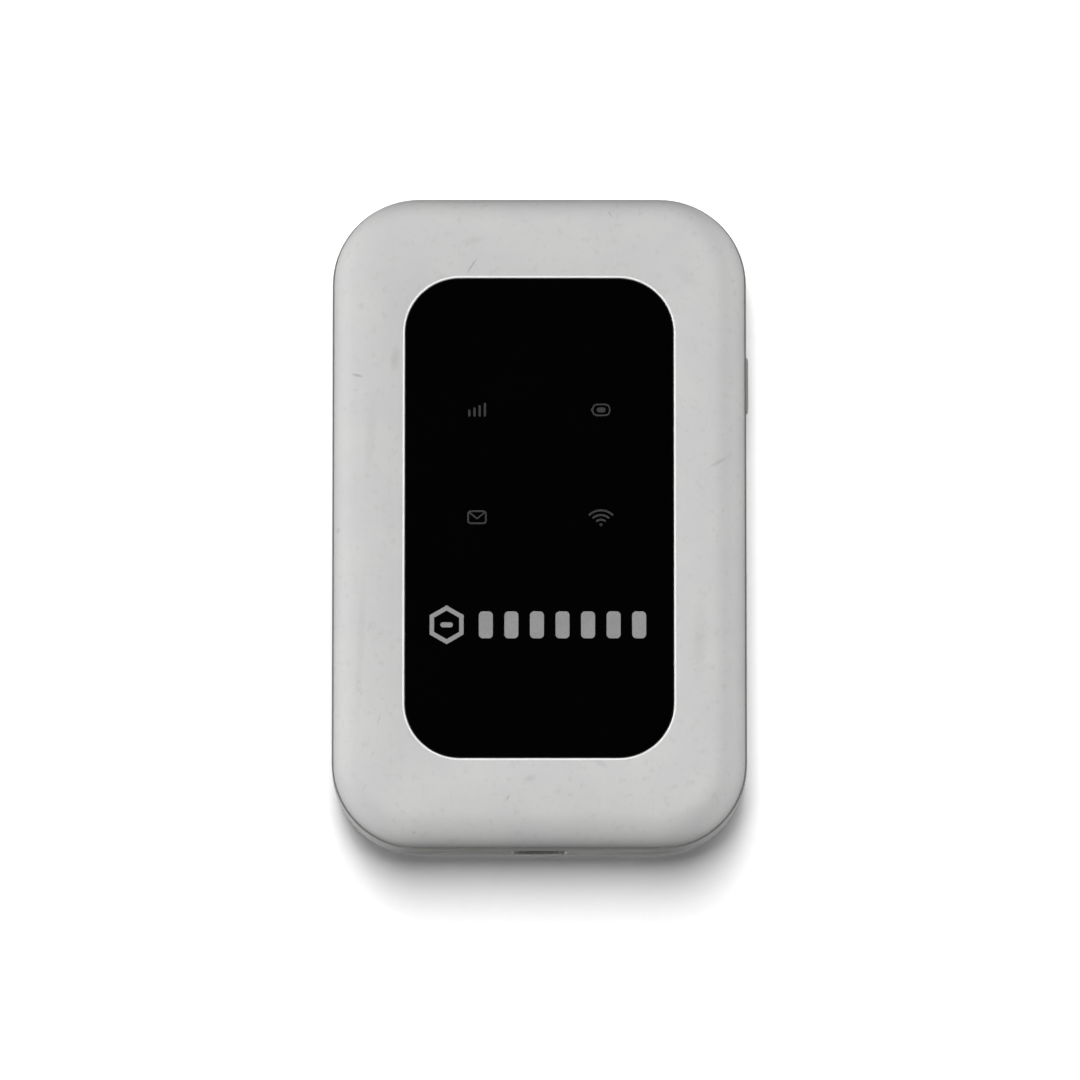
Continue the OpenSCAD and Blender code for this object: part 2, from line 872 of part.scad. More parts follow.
// Rows of small capacitors along the shields.
module capacitors() {
    color([0.6, 0.48, 0.36]) {
        for (i = [0:11])
            chip([base_x - base_w / 2 + 2 + capacitor_pitch * i,
                base_y - base_l / 2 - 1.2], capacitor_size);
        for (i = [0:7])
            chip([rf_x - rf_w / 2 + 2 + capacitor_pitch * i,
                radio_y + radio_l / 2 + 1.1], capacitor_size);
    }
}

// --------------------------------------------------------------- antennas

// A bonded antenna: a comb of copper on a thin film, at one end of the case.
module antenna(side) {
    pitch = antenna_l / (antenna_slots + 1);
    color([0.78, 0.5, 0.3])
        difference() {
            pad(0, side * antenna_y, ceiling_z - antenna_t, antenna_l, antenna_w,
                antenna_t);
            for (i = [1:antenna_slots])
                pad(-antenna_l / 2 + pitch * i,
                    side * antenna_y + (i % 2 == 0 ? 1 : -1) * antenna_slot_w,
                    ceiling_z - antenna_t - over, antenna_slot_w,
                    antenna_w - 2 * antenna_slot_w + sink, antenna_t + 2 * over);
        }
}

module main_antenna() antenna(1);
module diversity_antenna() antenna(-1);

// A stamped inverted-F antenna that stands on two legs near the left edge.
module wifi_antenna() {
    x = -inner_w / 2 + board_gap + 1.6;
    leg_w = 1.2;
    color(tin) {
        block([x, shield_y, board_top + wifi_antenna_h],
            [wifi_antenna_w, radio_l, sheet_t]);
        for (y = [shield_y, shield_y + 2.5 * leg_w])
            block([x, y, board_top], [sheet_t, leg_w, wifi_antenna_h + sheet_t]);
    }
}

// Bent springs that carry each bonded antenna's signal down to the board.
module antenna_springs() {
    h = ceiling_z - antenna_t - board_top;
    t = spring_t;
    half = spring_l / 2;
    color(gold)
        for (side = [-1, 1], x = [-spring_x, spring_x])
            translate([x - spring_w / 2, side * spring_y, board_top])
                rotate([90, 0, 90])
                    linear_extrude(spring_w)
                        polygon([
                            [-half, 0], [half, 0], [half, t], [-half + t, t],
                            [half - t, h - t], [half - t, h], [-half, h],
                            [-half, h - t], [half - 3 * t, h - t], [-half, 2 * t]
                        ]);
}

// ------------------------------------------------------------------ socket

// Mouth of a micro-USB socket: wide towards the board, tapered away from it.
module usb_outline(grow) {
    w = usb_w / 2 + grow;
    h = usb_h / 2 + grow;
    polygon([
        [-w, h], [w, h], [w, -h + usb_taper * 1.3], [w - usb_taper, -h],
        [-w + usb_taper, -h], [-w, -h + usb_taper * 1.3]
    ]);
}

// Places a drawn outline at the socket, going in from the mouth.
module at_socket(depth, length) {
    translate([0, usb_front_y + depth + length, usb_z])
        rotate([90, 0, 0])
            linear_extrude(length)
                children();
}

module usb_shell() {
    color(tin)
        difference() {
            at_socket(0, usb_d)
                usb_outline(0);
            at_socket(-over, usb_d - usb_t + over)
                usb_outline(-usb_t);
        }
}

module usb_insulator() {
    root = 1.2;
    color(chip_black) {
        at_socket(usb_d - usb_t - root, root)
            usb_outline(-usb_t);
        block([-1.9, usb_front_y + 0.9, usb_z - 0.1],
            [3.8, usb_d - usb_t - root - 0.9, 0.6]);
    }
}

module usb_contacts() {
    color(gold)
        for (i = [-2:2])
            block([i * 0.65 - 0.17, usb_front_y + 1.1, usb_z - 0.2],
                [0.34, usb_d - usb_t - 2.3, 0.1]);
}

// --------------------------------------------------------------- SIM card

// Card holder: a plastic frame against the board, open at its +X end.
module sim_holder() {
    base = board_z - (card_z + card_t + card_gap);
    color(chip_black)
        difference() {
            block([holder_x, card_y - holder_w / 2, holder_z + holder_sheet],
                [holder_l, holder_w, holder_h - holder_sheet]);
            block([card_x - card_gap, card_y - card_w / 2 - card_gap,
                holder_z - over],
                [holder_l, card_w + 2 * card_gap, holder_h - base + over]);
            // Slots in the base for the sprung contacts.
            for (p = CARD_CONTACTS)
                pad(p[0], p[1], board_z - base - over, 2.6, 1.4, base + 2 * over);
        }
}

// Stamped cover that holds the card up against the contacts.
module sim_shell() {
    color(tin)
        difference() {
            block([holder_x, card_y - holder_w / 2, holder_z],
                [holder_l, holder_w, holder_sheet]);
            // Finger cut-out over the card, and two stamped windows.
            rod(holder_x + holder_l, card_y, holder_z - over, 3, holder_sheet + 2 * over);
            for (s = [-1, 1])
                pad(holder_x + 4.5, card_y + s * 3.5, holder_z - over, 4, 2.2,
                    holder_sheet + 2 * over);
        }
}

module sim_contacts() {
    gap = board_z - (card_z + card_t);
    color(gold)
        for (p = CARD_CONTACTS)
            pad(p[0], p[1], board_z - gap + 0.1, 2.2, 1, gap - 0.1);
}

module sim_card() {
    cut = 2.1;
    color([0.93, 0.93, 0.9])
        translate([card_x, card_y, card_z])
            linear_extrude(card_t - 0.03)
                polygon([
                    [0, -card_w / 2], [card_l, -card_w / 2],
                    [card_l, card_w / 2], [cut, card_w / 2],
                    [0, card_w / 2 - cut]
                ]);
}

// Contact pads on the card's face, towards the board.
module sim_card_pads() {
    color(gold)
        for (p = CARD_CONTACTS)
            pad(p[0], p[1], card_z + card_t - 0.03, 3, 2.1, 0.03);
}

// ----------------------------------------------------------------- battery

module battery_connector() {
    color(chip_black)
        difference() {
            block([-connector_w / 2, connector_y - connector_d, connector_z],
                [connector_w, connector_d, board_z - connector_z]);
            for (i = [-1:1])
                translate([i * contact_pitch, connector_y + over, contact_z])
                    rotate([90, 0, 0])
                        cylinder(r = contact_r + 0.06, h = contact_l + over + 0.2);
        }
}

// Three sprung pins that press on the battery's pads.
module battery_contacts() {
    tip_y = battery_y0 - contact_gap;
    color(gold)
        for (i = [-1:1])
            translate([i * contact_pitch, tip_y, contact_z])
                rotate([90, 0, 0]) {
                    translate([0, 0, contact_r])
                        cylinder(r = contact_r, h = contact_l - contact_r);
                    translate([0, 0, contact_r])
                        sphere(r = contact_r);
                }
}

// Wrapped cell, behind the plastic end that carries the contacts.
module battery_cell() {
    color([0.12, 0.13, 0.15])
        difference() {
            translate([0, battery_y, 0])
                slab(battery_w, battery_l, battery_r, battery_z + 0.1, battery_t - 0.1);
            block([-half_w, battery_y0 - over, battery_z - over],
                [body_w, over + header_l, battery_t + 2 * over]);
        }
}

module battery_header() {
    color([0.2, 0.2, 0.21])
        difference() {
            intersection() {
                translate([0, battery_y, 0])
                    slab(battery_w, battery_l, battery_r, battery_z + 0.1,
                        battery_t - 0.1);
                block([-half_w, battery_y0 - over, battery_z - over],
                    [body_w, over + header_l, battery_t + 2 * over]);
            }
            for (i = [-1:1])
                battery_pad(i, 0.2, over);
        }
}

// One contact pad, set flush in the battery's end.
module battery_pad(i, depth, out) {
    translate([i * contact_pitch - 1, battery_y0 - out, contact_z - 1.2])
        cube([2, depth + out, 2.4]);
}

module battery_pads() {
    color(gold)
        for (i = [-1:1])
            battery_pad(i, 0.2, 0);
}

module battery_label() {
    color([0.9, 0.9, 0.88])
        translate([0, battery_y + header_l / 2, 0])
            slab(battery_w - 3, battery_l - header_l - 3, 1.2, battery_z, 0.1);
}

// Blank label on the floor of the battery bay.
module rating_label() {
    color([0.93, 0.93, 0.91])
        translate([0, battery_y, 0])
            slab(38, 44, 1.5, web_z - 0.1, 0.1);
}

// ----------------------------------------------------------------- buttons

module power_button() {
    x1 = half_w + button_proud;
    color([0.6, 0.6, 0.6]) {
        // Cap that fills the slot in the wall.
        translate([flange_x - 0.2, button_y, button_z])
            rotate([90, 0, 90])
                linear_extrude(x1 - flange_x + 0.2)
                    rounded_rect(button_l, button_h, 0.85);
        // Flange that keeps the button in, and the arm that reaches the switch.
        pad(flange_x - flange_t / 2, button_y, button_z - button_h / 2 - flange_reach,
            flange_t, button_l + 2 * flange_reach, button_h + 2 * flange_reach);
        block([arm_x, button_y - arm_w / 2, button_z - button_h / 2],
            [arm_t + sink, arm_w, plunger_z + plunger_h / 2 - button_z + button_h / 2]);
    }
}

module power_switch() {
    color(tin)
        difference() {
            pad(switch_front_x - switch_d / 2, button_y, board_top,
                switch_d, switch_w, switch_h);
            pad(switch_front_x, button_y, plunger_z - plunger_h / 2 - plunger_gap,
                1.8, plunger_w + 2 * plunger_gap, plunger_h + 2 * plunger_gap);
        }
}

module power_plunger() {
    back = 0.55;
    color(chip_black)
        block([switch_front_x - back, button_y - plunger_w / 2,
            plunger_z - plunger_h / 2],
            [plunger_tip_x - switch_front_x + back, plunger_w, plunger_h]);
}

module reset_switch() {
    color(tin)
        difference() {
            pad(reset_x, reset_y, board_z - reset_h, 4, 3, reset_h);
            rod(reset_x, reset_y, board_z - reset_h - over,
                pinhole_r + plunger_gap - 0.1, over + 0.8);
        }
}

module reset_plunger() {
    color([0.75, 0.2, 0.15])
        rod(reset_x, reset_y, board_z - reset_h - reset_tip, pinhole_r - 0.1,
            reset_tip + 0.5);
}

// ------------------------------------------------------------------ screws

// Pan-head screws from the back, through housing and board into the bosses.
module case_screws() {
    color(tin)
        for (p = SCREWS)
            difference() {
                union() {
                    rod(p[0], p[1], web_z - head_h, head_r, head_h);
                    rod(p[0], p[1], web_z - 0.1, screw_r, screw_l + 0.1);
                }
                // Cross recess.
                pad(p[0], p[1], web_z - head_h - over, slot_l, slot_w,
                    over + slot_depth);
                pad(p[0], p[1], web_z - head_h - over, slot_w, slot_l,
                    over + slot_depth);
            }
}

// ------------------------------------------------------------------- nodes

front_cover();
lens_panel();
lens_adhesive();
diffuser_film();
rear_housing();
battery_cover();
main_board();
light_baffle();
led_signal();
led_battery();
led_message();
led_wifi();
rf_shield();
wifi_shield();
baseband_shield();
processor();
memory_chip();
power_chip();
rf_transceiver();
rf_amplifier();
wifi_chip();
thermal_pad();
crystal();
power_inductors();
capacitors();
main_antenna();
diversity_antenna();
wifi_antenna();
antenna_springs();
usb_shell();
usb_insulator();
usb_contacts();
sim_holder();
sim_shell();
sim_contacts();
sim_card();
sim_card_pads();
battery_connector();
battery_contacts();
battery_cell();
battery_header();
battery_pads();
battery_label();
rating_label();
power_button();
power_switch();
power_plunger();
reset_switch();
reset_plunger();
case_screws();
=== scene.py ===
# %% [markdown]
# # A pocket hotspot, finished in Blender
#
# A pocket hotspot is a small battery-powered router. It has a white moulded case
# in three shells, a black acrylic panel with four icons, a power button on its
# side and a micro-USB socket in one end. The measured model of it comes in as a
# fixed frame, and each step below gives one piece of it its finished surface.
# The pieces could be drawn freely and fitted to the frame afterwards. The frame
# is loaded first instead, so that places and sizes are read and nothing needs to
# be fitted.

# %% Load the frame
import json
import math

import bmesh
import bpy
from mathutils import Matrix, Vector

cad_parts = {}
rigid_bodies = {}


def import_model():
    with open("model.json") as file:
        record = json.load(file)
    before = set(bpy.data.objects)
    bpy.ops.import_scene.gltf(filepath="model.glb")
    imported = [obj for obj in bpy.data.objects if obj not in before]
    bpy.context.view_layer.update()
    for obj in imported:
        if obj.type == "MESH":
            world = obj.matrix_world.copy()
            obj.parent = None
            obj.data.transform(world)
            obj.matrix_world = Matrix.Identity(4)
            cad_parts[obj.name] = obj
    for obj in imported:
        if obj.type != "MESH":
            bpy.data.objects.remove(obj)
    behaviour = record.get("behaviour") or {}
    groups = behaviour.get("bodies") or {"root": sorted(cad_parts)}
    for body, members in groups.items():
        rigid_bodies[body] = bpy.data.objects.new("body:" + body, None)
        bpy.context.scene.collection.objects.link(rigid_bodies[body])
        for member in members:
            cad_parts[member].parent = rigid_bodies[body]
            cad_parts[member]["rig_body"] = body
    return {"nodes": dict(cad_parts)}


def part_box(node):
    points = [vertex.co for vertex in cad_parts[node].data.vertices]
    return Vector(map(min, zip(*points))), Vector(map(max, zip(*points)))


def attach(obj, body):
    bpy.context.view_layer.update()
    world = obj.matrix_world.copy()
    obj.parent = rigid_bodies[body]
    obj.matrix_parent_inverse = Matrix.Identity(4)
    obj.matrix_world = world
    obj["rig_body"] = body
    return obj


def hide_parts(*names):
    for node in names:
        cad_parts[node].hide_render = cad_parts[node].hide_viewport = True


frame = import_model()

scene = bpy.context.scene
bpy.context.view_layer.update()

# %% [markdown]
# ## Sizes
#
# Lengths are written in millimetres, as on a drawing, and turn into Blender's
# metres only when a mesh is made. Typing every size in again would work too, but
# then a change to the model would leave the pieces behind. So what the frame can
# tell is read from it, and only what it can't, such as a radius, is named here.

# %% Read the sizes
MM = 0.001


def box_of(node):
    """The lowest and highest corner of a frame node, in millimetres."""
    low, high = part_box(node)
    return Vector(low) / MM, Vector(high) / MM


housing_low, housing_high = box_of("rear_housing")
cover_low, cover_high = box_of("front_cover")
panel_low, panel_high = box_of("lens_panel")

BODY_W = housing_high.x - housing_low.x
BODY_L = housing_high.y - housing_low.y
COVER_W = cover_high.x - cover_low.x
COVER_L = cover_high.y - cover_low.y
TOP_Z = cover_high.z
CORNER_R = 12.8
WALL = 1.4
print("body:", round(BODY_W, 2), "by", round(BODY_L, 2), "by", round(TOP_Z, 2), "mm")

# %% [markdown]
# ## Rings and lofts
#
# Every shell of the case is a stack of level rings, each a rounded rectangle.
# A box with a Bevel modifier could give a similar shape, but it pinches where two
# roundings of different radius meet. Here all rings have the same number of
# points, so two neighbours always join with clean four-sided faces.

# %% Draw one ring
CORNER_STEPS = 16
SIDE_STEPS = 8
QUARTERS = ((1, 1), (-1, 1), (-1, -1), (1, -1))


def ring(width, length, radius, height):
    """Points round a level rounded rectangle, anticlockwise from the middle of its +X side."""
    points = []
    for quarter, (sx, sy) in enumerate(QUARTERS):
        middle = Vector((sx * (width / 2 - radius), sy * (length / 2 - radius), height))
        for step in range(CORNER_STEPS + 1):
            angle = math.pi / 2 * (quarter + step / CORNER_STEPS)
            points.append(middle + radius * Vector((math.cos(angle), math.sin(angle), 0)))
        nx, ny = QUARTERS[(quarter + 1) % 4]
        ahead = Vector((nx * (width / 2 - radius), ny * (length / 2 - radius), height))
        ahead += radius * Vector((math.cos(angle), math.sin(angle), 0))
        start = points[-1]
        points += [start.lerp(ahead, step / SIDE_STEPS) for step in range(1, SIDE_STEPS)]
    return points


print("points in a ring:", len(ring(BODY_W, BODY_L, CORNER_R, 0)))

# %% [markdown]
# A section is the cut face that a saw would leave in the shell's wall. It is drawn
# as inset from the outline and height, so a rounding is just an arc of points, and
# the same section works for any outline.

# %% Draw a section and loft it
def arc(inset, height, radius, start, end, steps=8):
    """Section points on an arc: 0 degrees points out of the body, 90 degrees up."""
    turns = [math.radians(start + (end - start) * step / steps) for step in range(steps + 1)]
    return [(inset - radius * math.cos(turn), height + radius * math.sin(turn)) for turn in turns]


def rings_of(section, width, length, radius):
    """Turns a section of (inset, height) points into rings inside one outline."""
    return [ring(width - 2 * i, length - 2 * i, radius - i, z) for i, z in section]


def loft(rings):
    """Joins rings into a closed mesh with a flat cap on its first and last ring."""
    bm = bmesh.new()
    rows = [[bm.verts.new(point) for point in points] for points in rings]
    bm.faces.new(rows[0])
    bm.faces.new(rows[-1])
    for low, high in zip(rows, rows[1:]):
        for i, vert in enumerate(low):
            j = (i + 1) % len(low)
            bm.faces.new((vert, low[j], high[j], high[i]))
    bmesh.ops.recalc_face_normals(bm, faces=bm.faces)
    return bm


print("points in an arc:", len(arc(0, 0, 1, 0, 90)))

# %% [markdown]
# ## From mesh to piece
#
# A piece is a plain mesh with one material that rides on a body of the frame.
# Flat shading would show every facet, and smooth shading alone would smear the
# real corners. So faces are shaded smooth, and only edges sharper than a moulding
# radius stay crisp.

# %% Make a piece
SHARP_ANGLE = 32


def shade(mesh):
    """Smooth shading, with a crisp edge where two faces meet at a real corner."""
    mesh.shade_smooth()
    mesh.set_sharp_from_angle(angle=math.radians(SHARP_ANGLE))


def mesh_piece(name, bm, material):
    """Makes an object at the origin from a mesh in millimetres."""
    bmesh.ops.scale(bm, vec=(MM, MM, MM), verts=bm.verts)
    mesh = bpy.data.meshes.new(name)
    bm.to_mesh(mesh)
    bm.free()
    mesh.materials.append(material)
    shade(mesh)
    piece = bpy.data.objects.new(name, mesh)
    scene.collection.objects.link(piece)
    return piece


def settle(piece):
    """Applies a piece's modifiers and leaves a plain mesh."""
    graph = bpy.context.evaluated_depsgraph_get()
    mesh = bpy.data.meshes.new_from_object(piece.evaluated_get(graph))
    piece.modifiers.clear()
    piece.data = mesh
    mesh.name = piece.name
    shade(mesh)
    return piece


def as_drawing(piece):
    """Takes a helper piece back as a mesh in millimetres, and removes its object."""
    bm = bmesh.new()
    bm.from_mesh(piece.data)
    bmesh.ops.scale(bm, vec=(1 / MM,) * 3, verts=bm.verts)
    bpy.data.objects.remove(piece)
    return bm


print("edges stay crisp above", SHARP_ANGLE, "degrees")

# %% [markdown]
# An opening could be modelled into the rings, but a round window in a rounded
# shell would need faces of its own all the way round. A boolean with the exact
# solver cuts it cleanly. Each finished piece is tested for open edges when it is
# placed, because a hole in a mesh is easy to miss by eye.

# %% Cut, join and place pieces
def combine(piece, tool, operation):
    """Cuts the tool from the piece with DIFFERENCE, or adds it with UNION."""
    cut = piece.modifiers.new("combine", "BOOLEAN")
    cut.operation = operation
    cut.solver = "EXACT"
    cut.object = tool
    settle(piece)
    bpy.data.objects.remove(tool)
    return piece


def place(piece, body, slot, *nodes):
    """Lets a piece ride on a body and stand for nodes; the slot is not used."""
    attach(piece, body)
    if nodes:
        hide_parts(*nodes)
    bm = bmesh.new()
    bm.from_mesh(piece.data)
    whole = all(edge.is_manifold for edge in bm.edges)
    bm.free()
    print(f"{piece.name}: {len(piece.data.polygons)} faces,", "closed" if whole else "OPEN")
    return piece


print("nodes that wait for their finish:", len(frame["nodes"]))

# %% [markdown]
# ## Nodes
#
# Materials and Geometry Nodes are both trees of nodes, so one function builds
# both. Colours are written as the sRGB hex values that a painter would pick, and
# another function turns them into the linear values that light needs. A pattern
# could be laid out on a UV map, but these pieces have no cloth or print that
# follows their surface. Object coordinates are metres on the piece itself, so a
# grain of 0.3 mm is the same size on every piece.

# %% Add nodes and mix paint
def feed(node, inputs):
    """Gives each input of a node a value, a socket, a node's first output or a list of these."""
    for key, value in inputs.items():
        for source in value if isinstance(value, list) else [value]:
            if isinstance(source, bpy.types.Node):
                source = source.outputs[0]
            if isinstance(source, bpy.types.NodeSocket):
                node.id_data.links.new(source, node.inputs[key])
            else:
                node.inputs[key].default_value = source


def add(tree, kind, inputs, **settings):
    """Adds a node to a tree with its settings and links."""
    node = tree.nodes.new(kind)
    for name, value in settings.items():
        setattr(node, name, value)
    feed(node, inputs)
    return node


def paint(hex_colour):
    """Turns an sRGB hex colour into linear red, green, blue and alpha."""
    values = [int(hex_colour[i:i + 2], 16) / 255 for i in (1, 3, 5)]
    return *(v / 12.92 if v <= 0.04045 else ((v + 0.055) / 1.055) ** 2.4 for v in values), 1


def per_mm(size):
    """The texture scale that makes one feature about this many millimetres wide."""
    return 1 / (size * MM)


def finish(name, **values):
    """Starts a material, and returns it with its tree, its shader and its Object coordinates."""
    material = bpy.data.materials.new(name)
    material.use_nodes = True
    tree = material.node_tree
    shader = tree.nodes["Principled BSDF"]
    feed(shader, {key.replace("_", " "): value for key, value in values.items()})
    return material, tree, shader, add(tree, "ShaderNodeTexCoord", {}).outputs["Object"]


print("mid grey in linear light:", round(paint("#808080")[0], 3))

# %% [markdown]
# ## Moulded white ABS
#
# The case is injection-moulded ABS from a spark-eroded tool, which leaves an
# even matte grain. The real grain is near 0.1 mm and would vanish at this
# distance, so it is drawn at 0.4 mm. Use leaves the rest: a slight greying in
# broad patches, dust along the seams and a few small scuffs. Painted shade also
# darkens the seams and the socket's sill, and the case is a little darker towards
# both ends. Noise alone could make scuffs, but never where hands and pockets
# really leave them. So each scuff is an ellipse with a ragged edge, laid on the
# case with a Mapping node, and so are the sill's painted shade and the darkening
# at both ends.

# %% Place the scuffs
# Each mark: x, y and z of its middle, turn in degrees, length, width and height, darkness.
SCUFFS_AND_SHADE = (
    (-9.9, 37.6, 15, 57, 3.4, 0.3, 8, 0.42),
    (10.4, 45.4, 15, -55, 1.4, 0.3, 8, 0.32),
    (-26.8, 21.2, 15, -18, 2.6, 0.5, 8, 0.32),
    (-21.2, 23.6, 15, 84, 5.0, 1.9, 8, 0.14),
    (26.3, 8.2, 15, 30, 3.6, 0.7, 8, 0.2),
    (-4.6, -41.6, 15, 62, 1.5, 0.5, 8, 0.32),
    (-18.3, -46.6, 15, 20, 1.2, 0.4, 8, 0.28),
    (-23.5, -30.0, 15, 75, 2.4, 0.4, 8, 0.14),
    (23.5, -18.0, 15, 88, 15.0, 2.8, 8, 0.07),
    (-29.6, -1.6, 14, 82, 1.3, 0.5, 8, 0.3),
    (-1.4, -38.8, 15, 20, 2.6, 1.5, 8, 0.14),
    (8.6, -36.2, 15, -35, 4.6, 1.2, 8, 0.11),
    (3.2, -41.5, 15, 12, 11.0, 3.4, 8, 0.05),
    (-26.2, -19.0, 15, 88, 27.0, 1.6, 8, 0.06),
    (-24.8, 12.0, 15, 86, 14.0, 2.2, 8, 0.06),
    (-9.6, 41.4, 15, 12, 4.4, 1.3, 8, 0.09),
    (21.6, 36.0, 15, -40, 7.0, 2.4, 8, 0.05),
    # Broad darkening towards both ends.
    (0, -45.5, 15, 0, 62, 16, 8, 0.06),
    (0, 48.5, 15, 0, 66, 9, 9, 0.03),
    # Painted shade on the sill of the socket's opening, as dark as the shade inside it.
    (0, -48.25, 4.7, 0, 17, 1.3, 0.8, 0.95),
)
# Each seam: its height, half of its width, and how dark dust and painted shade make it.
SEAMS = ((9.38, 0.24, 0.76), (4.1, 0.2, 0.5))
# Dust and painted shade are darkest within this distance of a seam.
SEAM_CORE = 0.12


def dirt_and_shade_mask(tree, where):
    """How dark scuffs, dust and painted shade along the seams, painted shade in the socket's sill and broad
    darkening at both ends make each point, from 0 to 1.
    """
    ragged = add(tree, "ShaderNodeTexNoise", {
        "Vector": where, "Scale": per_mm(0.5), "Detail": 4, "Roughness": 0.7})
    marks = []
    for x, y, z, turn, length, width, height, darkness in SCUFFS_AND_SHADE:
        local = add(tree, "ShaderNodeMapping", {
            "Vector": where, "Location": (x * MM, y * MM, z * MM), "Rotation": (0, 0, math.radians(turn)),
            "Scale": (length / 2 * MM, width / 2 * MM, height / 2 * MM)}, vector_type="TEXTURE")
        far = add(tree, "ShaderNodeVectorMath", {0: local}, operation="LENGTH")
        rough = add(tree, "ShaderNodeMath", {0: far.outputs["Value"], 1: ragged}, operation="ADD")
        marks.append(add(tree, "ShaderNodeMapRange", {
            "Value": rough, "From Min": 0.8, "From Max": 1.45, "To Min": darkness, "To Max": 0}))
    height = add(tree, "ShaderNodeSeparateXYZ", {0: where}).outputs["Z"]
    # Painted shade and dust darken a band along each seam, darkest at its middle.
    for z, half, darkness in SEAMS:
        off = add(tree, "ShaderNodeMath", {0: height, 1: z * MM}, operation="SUBTRACT")
        apart = add(tree, "ShaderNodeMath", {0: off}, operation="ABSOLUTE")
        marks.append(add(tree, "ShaderNodeMapRange", {
            "Value": apart, "From Min": SEAM_CORE * MM, "From Max": half * MM,
            "To Min": darkness, "To Max": 0}))
    total = marks[0]
    for mark in marks[1:]:
        total = add(tree, "ShaderNodeMath", {0: total, 1: mark}, operation="MAXIMUM")
    return total


print("marks on the case:", len(SCUFFS_AND_SHADE), "scuffs and", len(SEAMS), "seams")

# %% [markdown]
# White ABS is never one white. Two close greys drift across the case, small
# specks lie in them, and the dirt and painted shade go on top, so the marks stay
# sharp. The gloss follows the broad patches, because a greyed patch is also a
# rubbed one.

# %% Mix the white ABS
def moulded_abs():
    """White ABS with a fine moulded grain, broad greying, a few scuffs, and dust and painted shade along
    its seams and in the socket's sill.
    """
    material, tree, shader, where = finish("moulded_white_abs", IOR=1.53)
    patches = add(tree, "ShaderNodeTexNoise", {
        "Vector": where, "Scale": per_mm(9), "Detail": 5, "Roughness": 0.62})
    patchy = add(tree, "ShaderNodeMapRange", {"Value": patches, "From Min": 0.35, "From Max": 0.68})
    base = add(tree, "ShaderNodeMix", {0: patchy, 6: paint("#C9C9C9"), 7: paint("#CECECD")},
               data_type="RGBA")
    specks = add(tree, "ShaderNodeTexNoise", {
        "Vector": where, "Scale": per_mm(1.1), "Detail": 3, "Roughness": 0.6})
    specked = add(tree, "ShaderNodeMapRange", {
        "Value": specks, "From Min": 0.57, "From Max": 0.72, "To Max": 0.45})
    greyed = add(tree, "ShaderNodeMix", {0: specked, 6: base.outputs[2], 7: paint("#BABAB8")},
                 data_type="RGBA")
    # Scuffs and dust darken the colour here, and so do the painted shade along the seams and in the
    # socket's sill.
    scuffed_and_shaded = add(tree, "ShaderNodeMix", {
        0: dirt_and_shade_mask(tree, where), 6: greyed.outputs[2], 7: paint("#56554F")}, data_type="RGBA")
    gloss = add(tree, "ShaderNodeMapRange", {
        "Value": patches, "From Min": 0.3, "From Max": 0.7, "To Min": 0.49, "To Max": 0.57})
    grain = add(tree, "ShaderNodeTexNoise", {"Vector": where, "Scale": per_mm(0.4), "Detail": 2})
    texture = add(tree, "ShaderNodeBump", {"Height": grain, "Strength": 0.35, "Distance": 0.02 * MM})
    feed(shader, {"Base Color": scuffed_and_shaded.outputs[2], "Roughness": gloss, "Normal": texture})
    return material


WHITE_ABS = moulded_abs()
print("finish:", WHITE_ABS.name, "with", len(WHITE_ABS.node_tree.nodes), "nodes")

# %% [markdown]
# ## Polished black acrylic
#
# The panel is clear acrylic printed black on its back. To the eye it is a deep
# black with a sharp gloss. A clear sheet over a black one would be truer, but it
# takes more light bounces and looks much the same, so the panel is solid black. A
# perfect mirror looks false, so handling adds faint smears that dull the gloss
# and hairlines that only show where a light catches them.

# %% Mix the black acrylic
def black_acrylic():
    """Deep black with a sharp gloss, dulled in places by smears and hairlines."""
    material, tree, shader, where = finish("polished_black_acrylic", IOR=1.49)
    smears = add(tree, "ShaderNodeTexNoise", {
        "Vector": where, "Scale": per_mm(12), "Detail": 3, "Roughness": 0.6})
    dull = add(tree, "ShaderNodeMapRange", {
        "Value": smears, "From Min": 0.45, "From Max": 0.75, "To Min": 0.05, "To Max": 0.12})
    drawn_out = add(tree, "ShaderNodeMapping", {
        "Vector": where, "Rotation": (0, 0, math.radians(24)), "Scale": (1, 0.04, 1)})
    lines = add(tree, "ShaderNodeTexNoise", {
        "Vector": drawn_out, "Scale": per_mm(0.25), "Detail": 1, "Roughness": 0.4})
    hairlines = add(tree, "ShaderNodeMapRange", {
        "Value": lines, "From Min": 0.7, "From Max": 0.74, "To Max": 0.04})
    rough = add(tree, "ShaderNodeMath", {0: dull, 1: hairlines}, operation="ADD")
    black = add(tree, "ShaderNodeMix", {0: dull, 6: paint("#020202"), 7: paint("#060606")},
                data_type="RGBA")
    feed(shader, {"Base Color": black.outputs[2], "Roughness": rough})
    return material


BLACK_ACRYLIC = black_acrylic()
print("finish:", BLACK_ACRYLIC.name)

# %% [markdown]
# ## One recipe for the small plain finishes
#
# Most other pieces are one plain material with its own grain: moulded nylon,
# epoxy, paper or plated steel. Each could have a tree of its own, but they differ
# only in two close shades, in how large and deep the grain is, and in how rough
# and metallic they are. One recipe covers them all and keeps each real material
# to a line or two that can be compared.

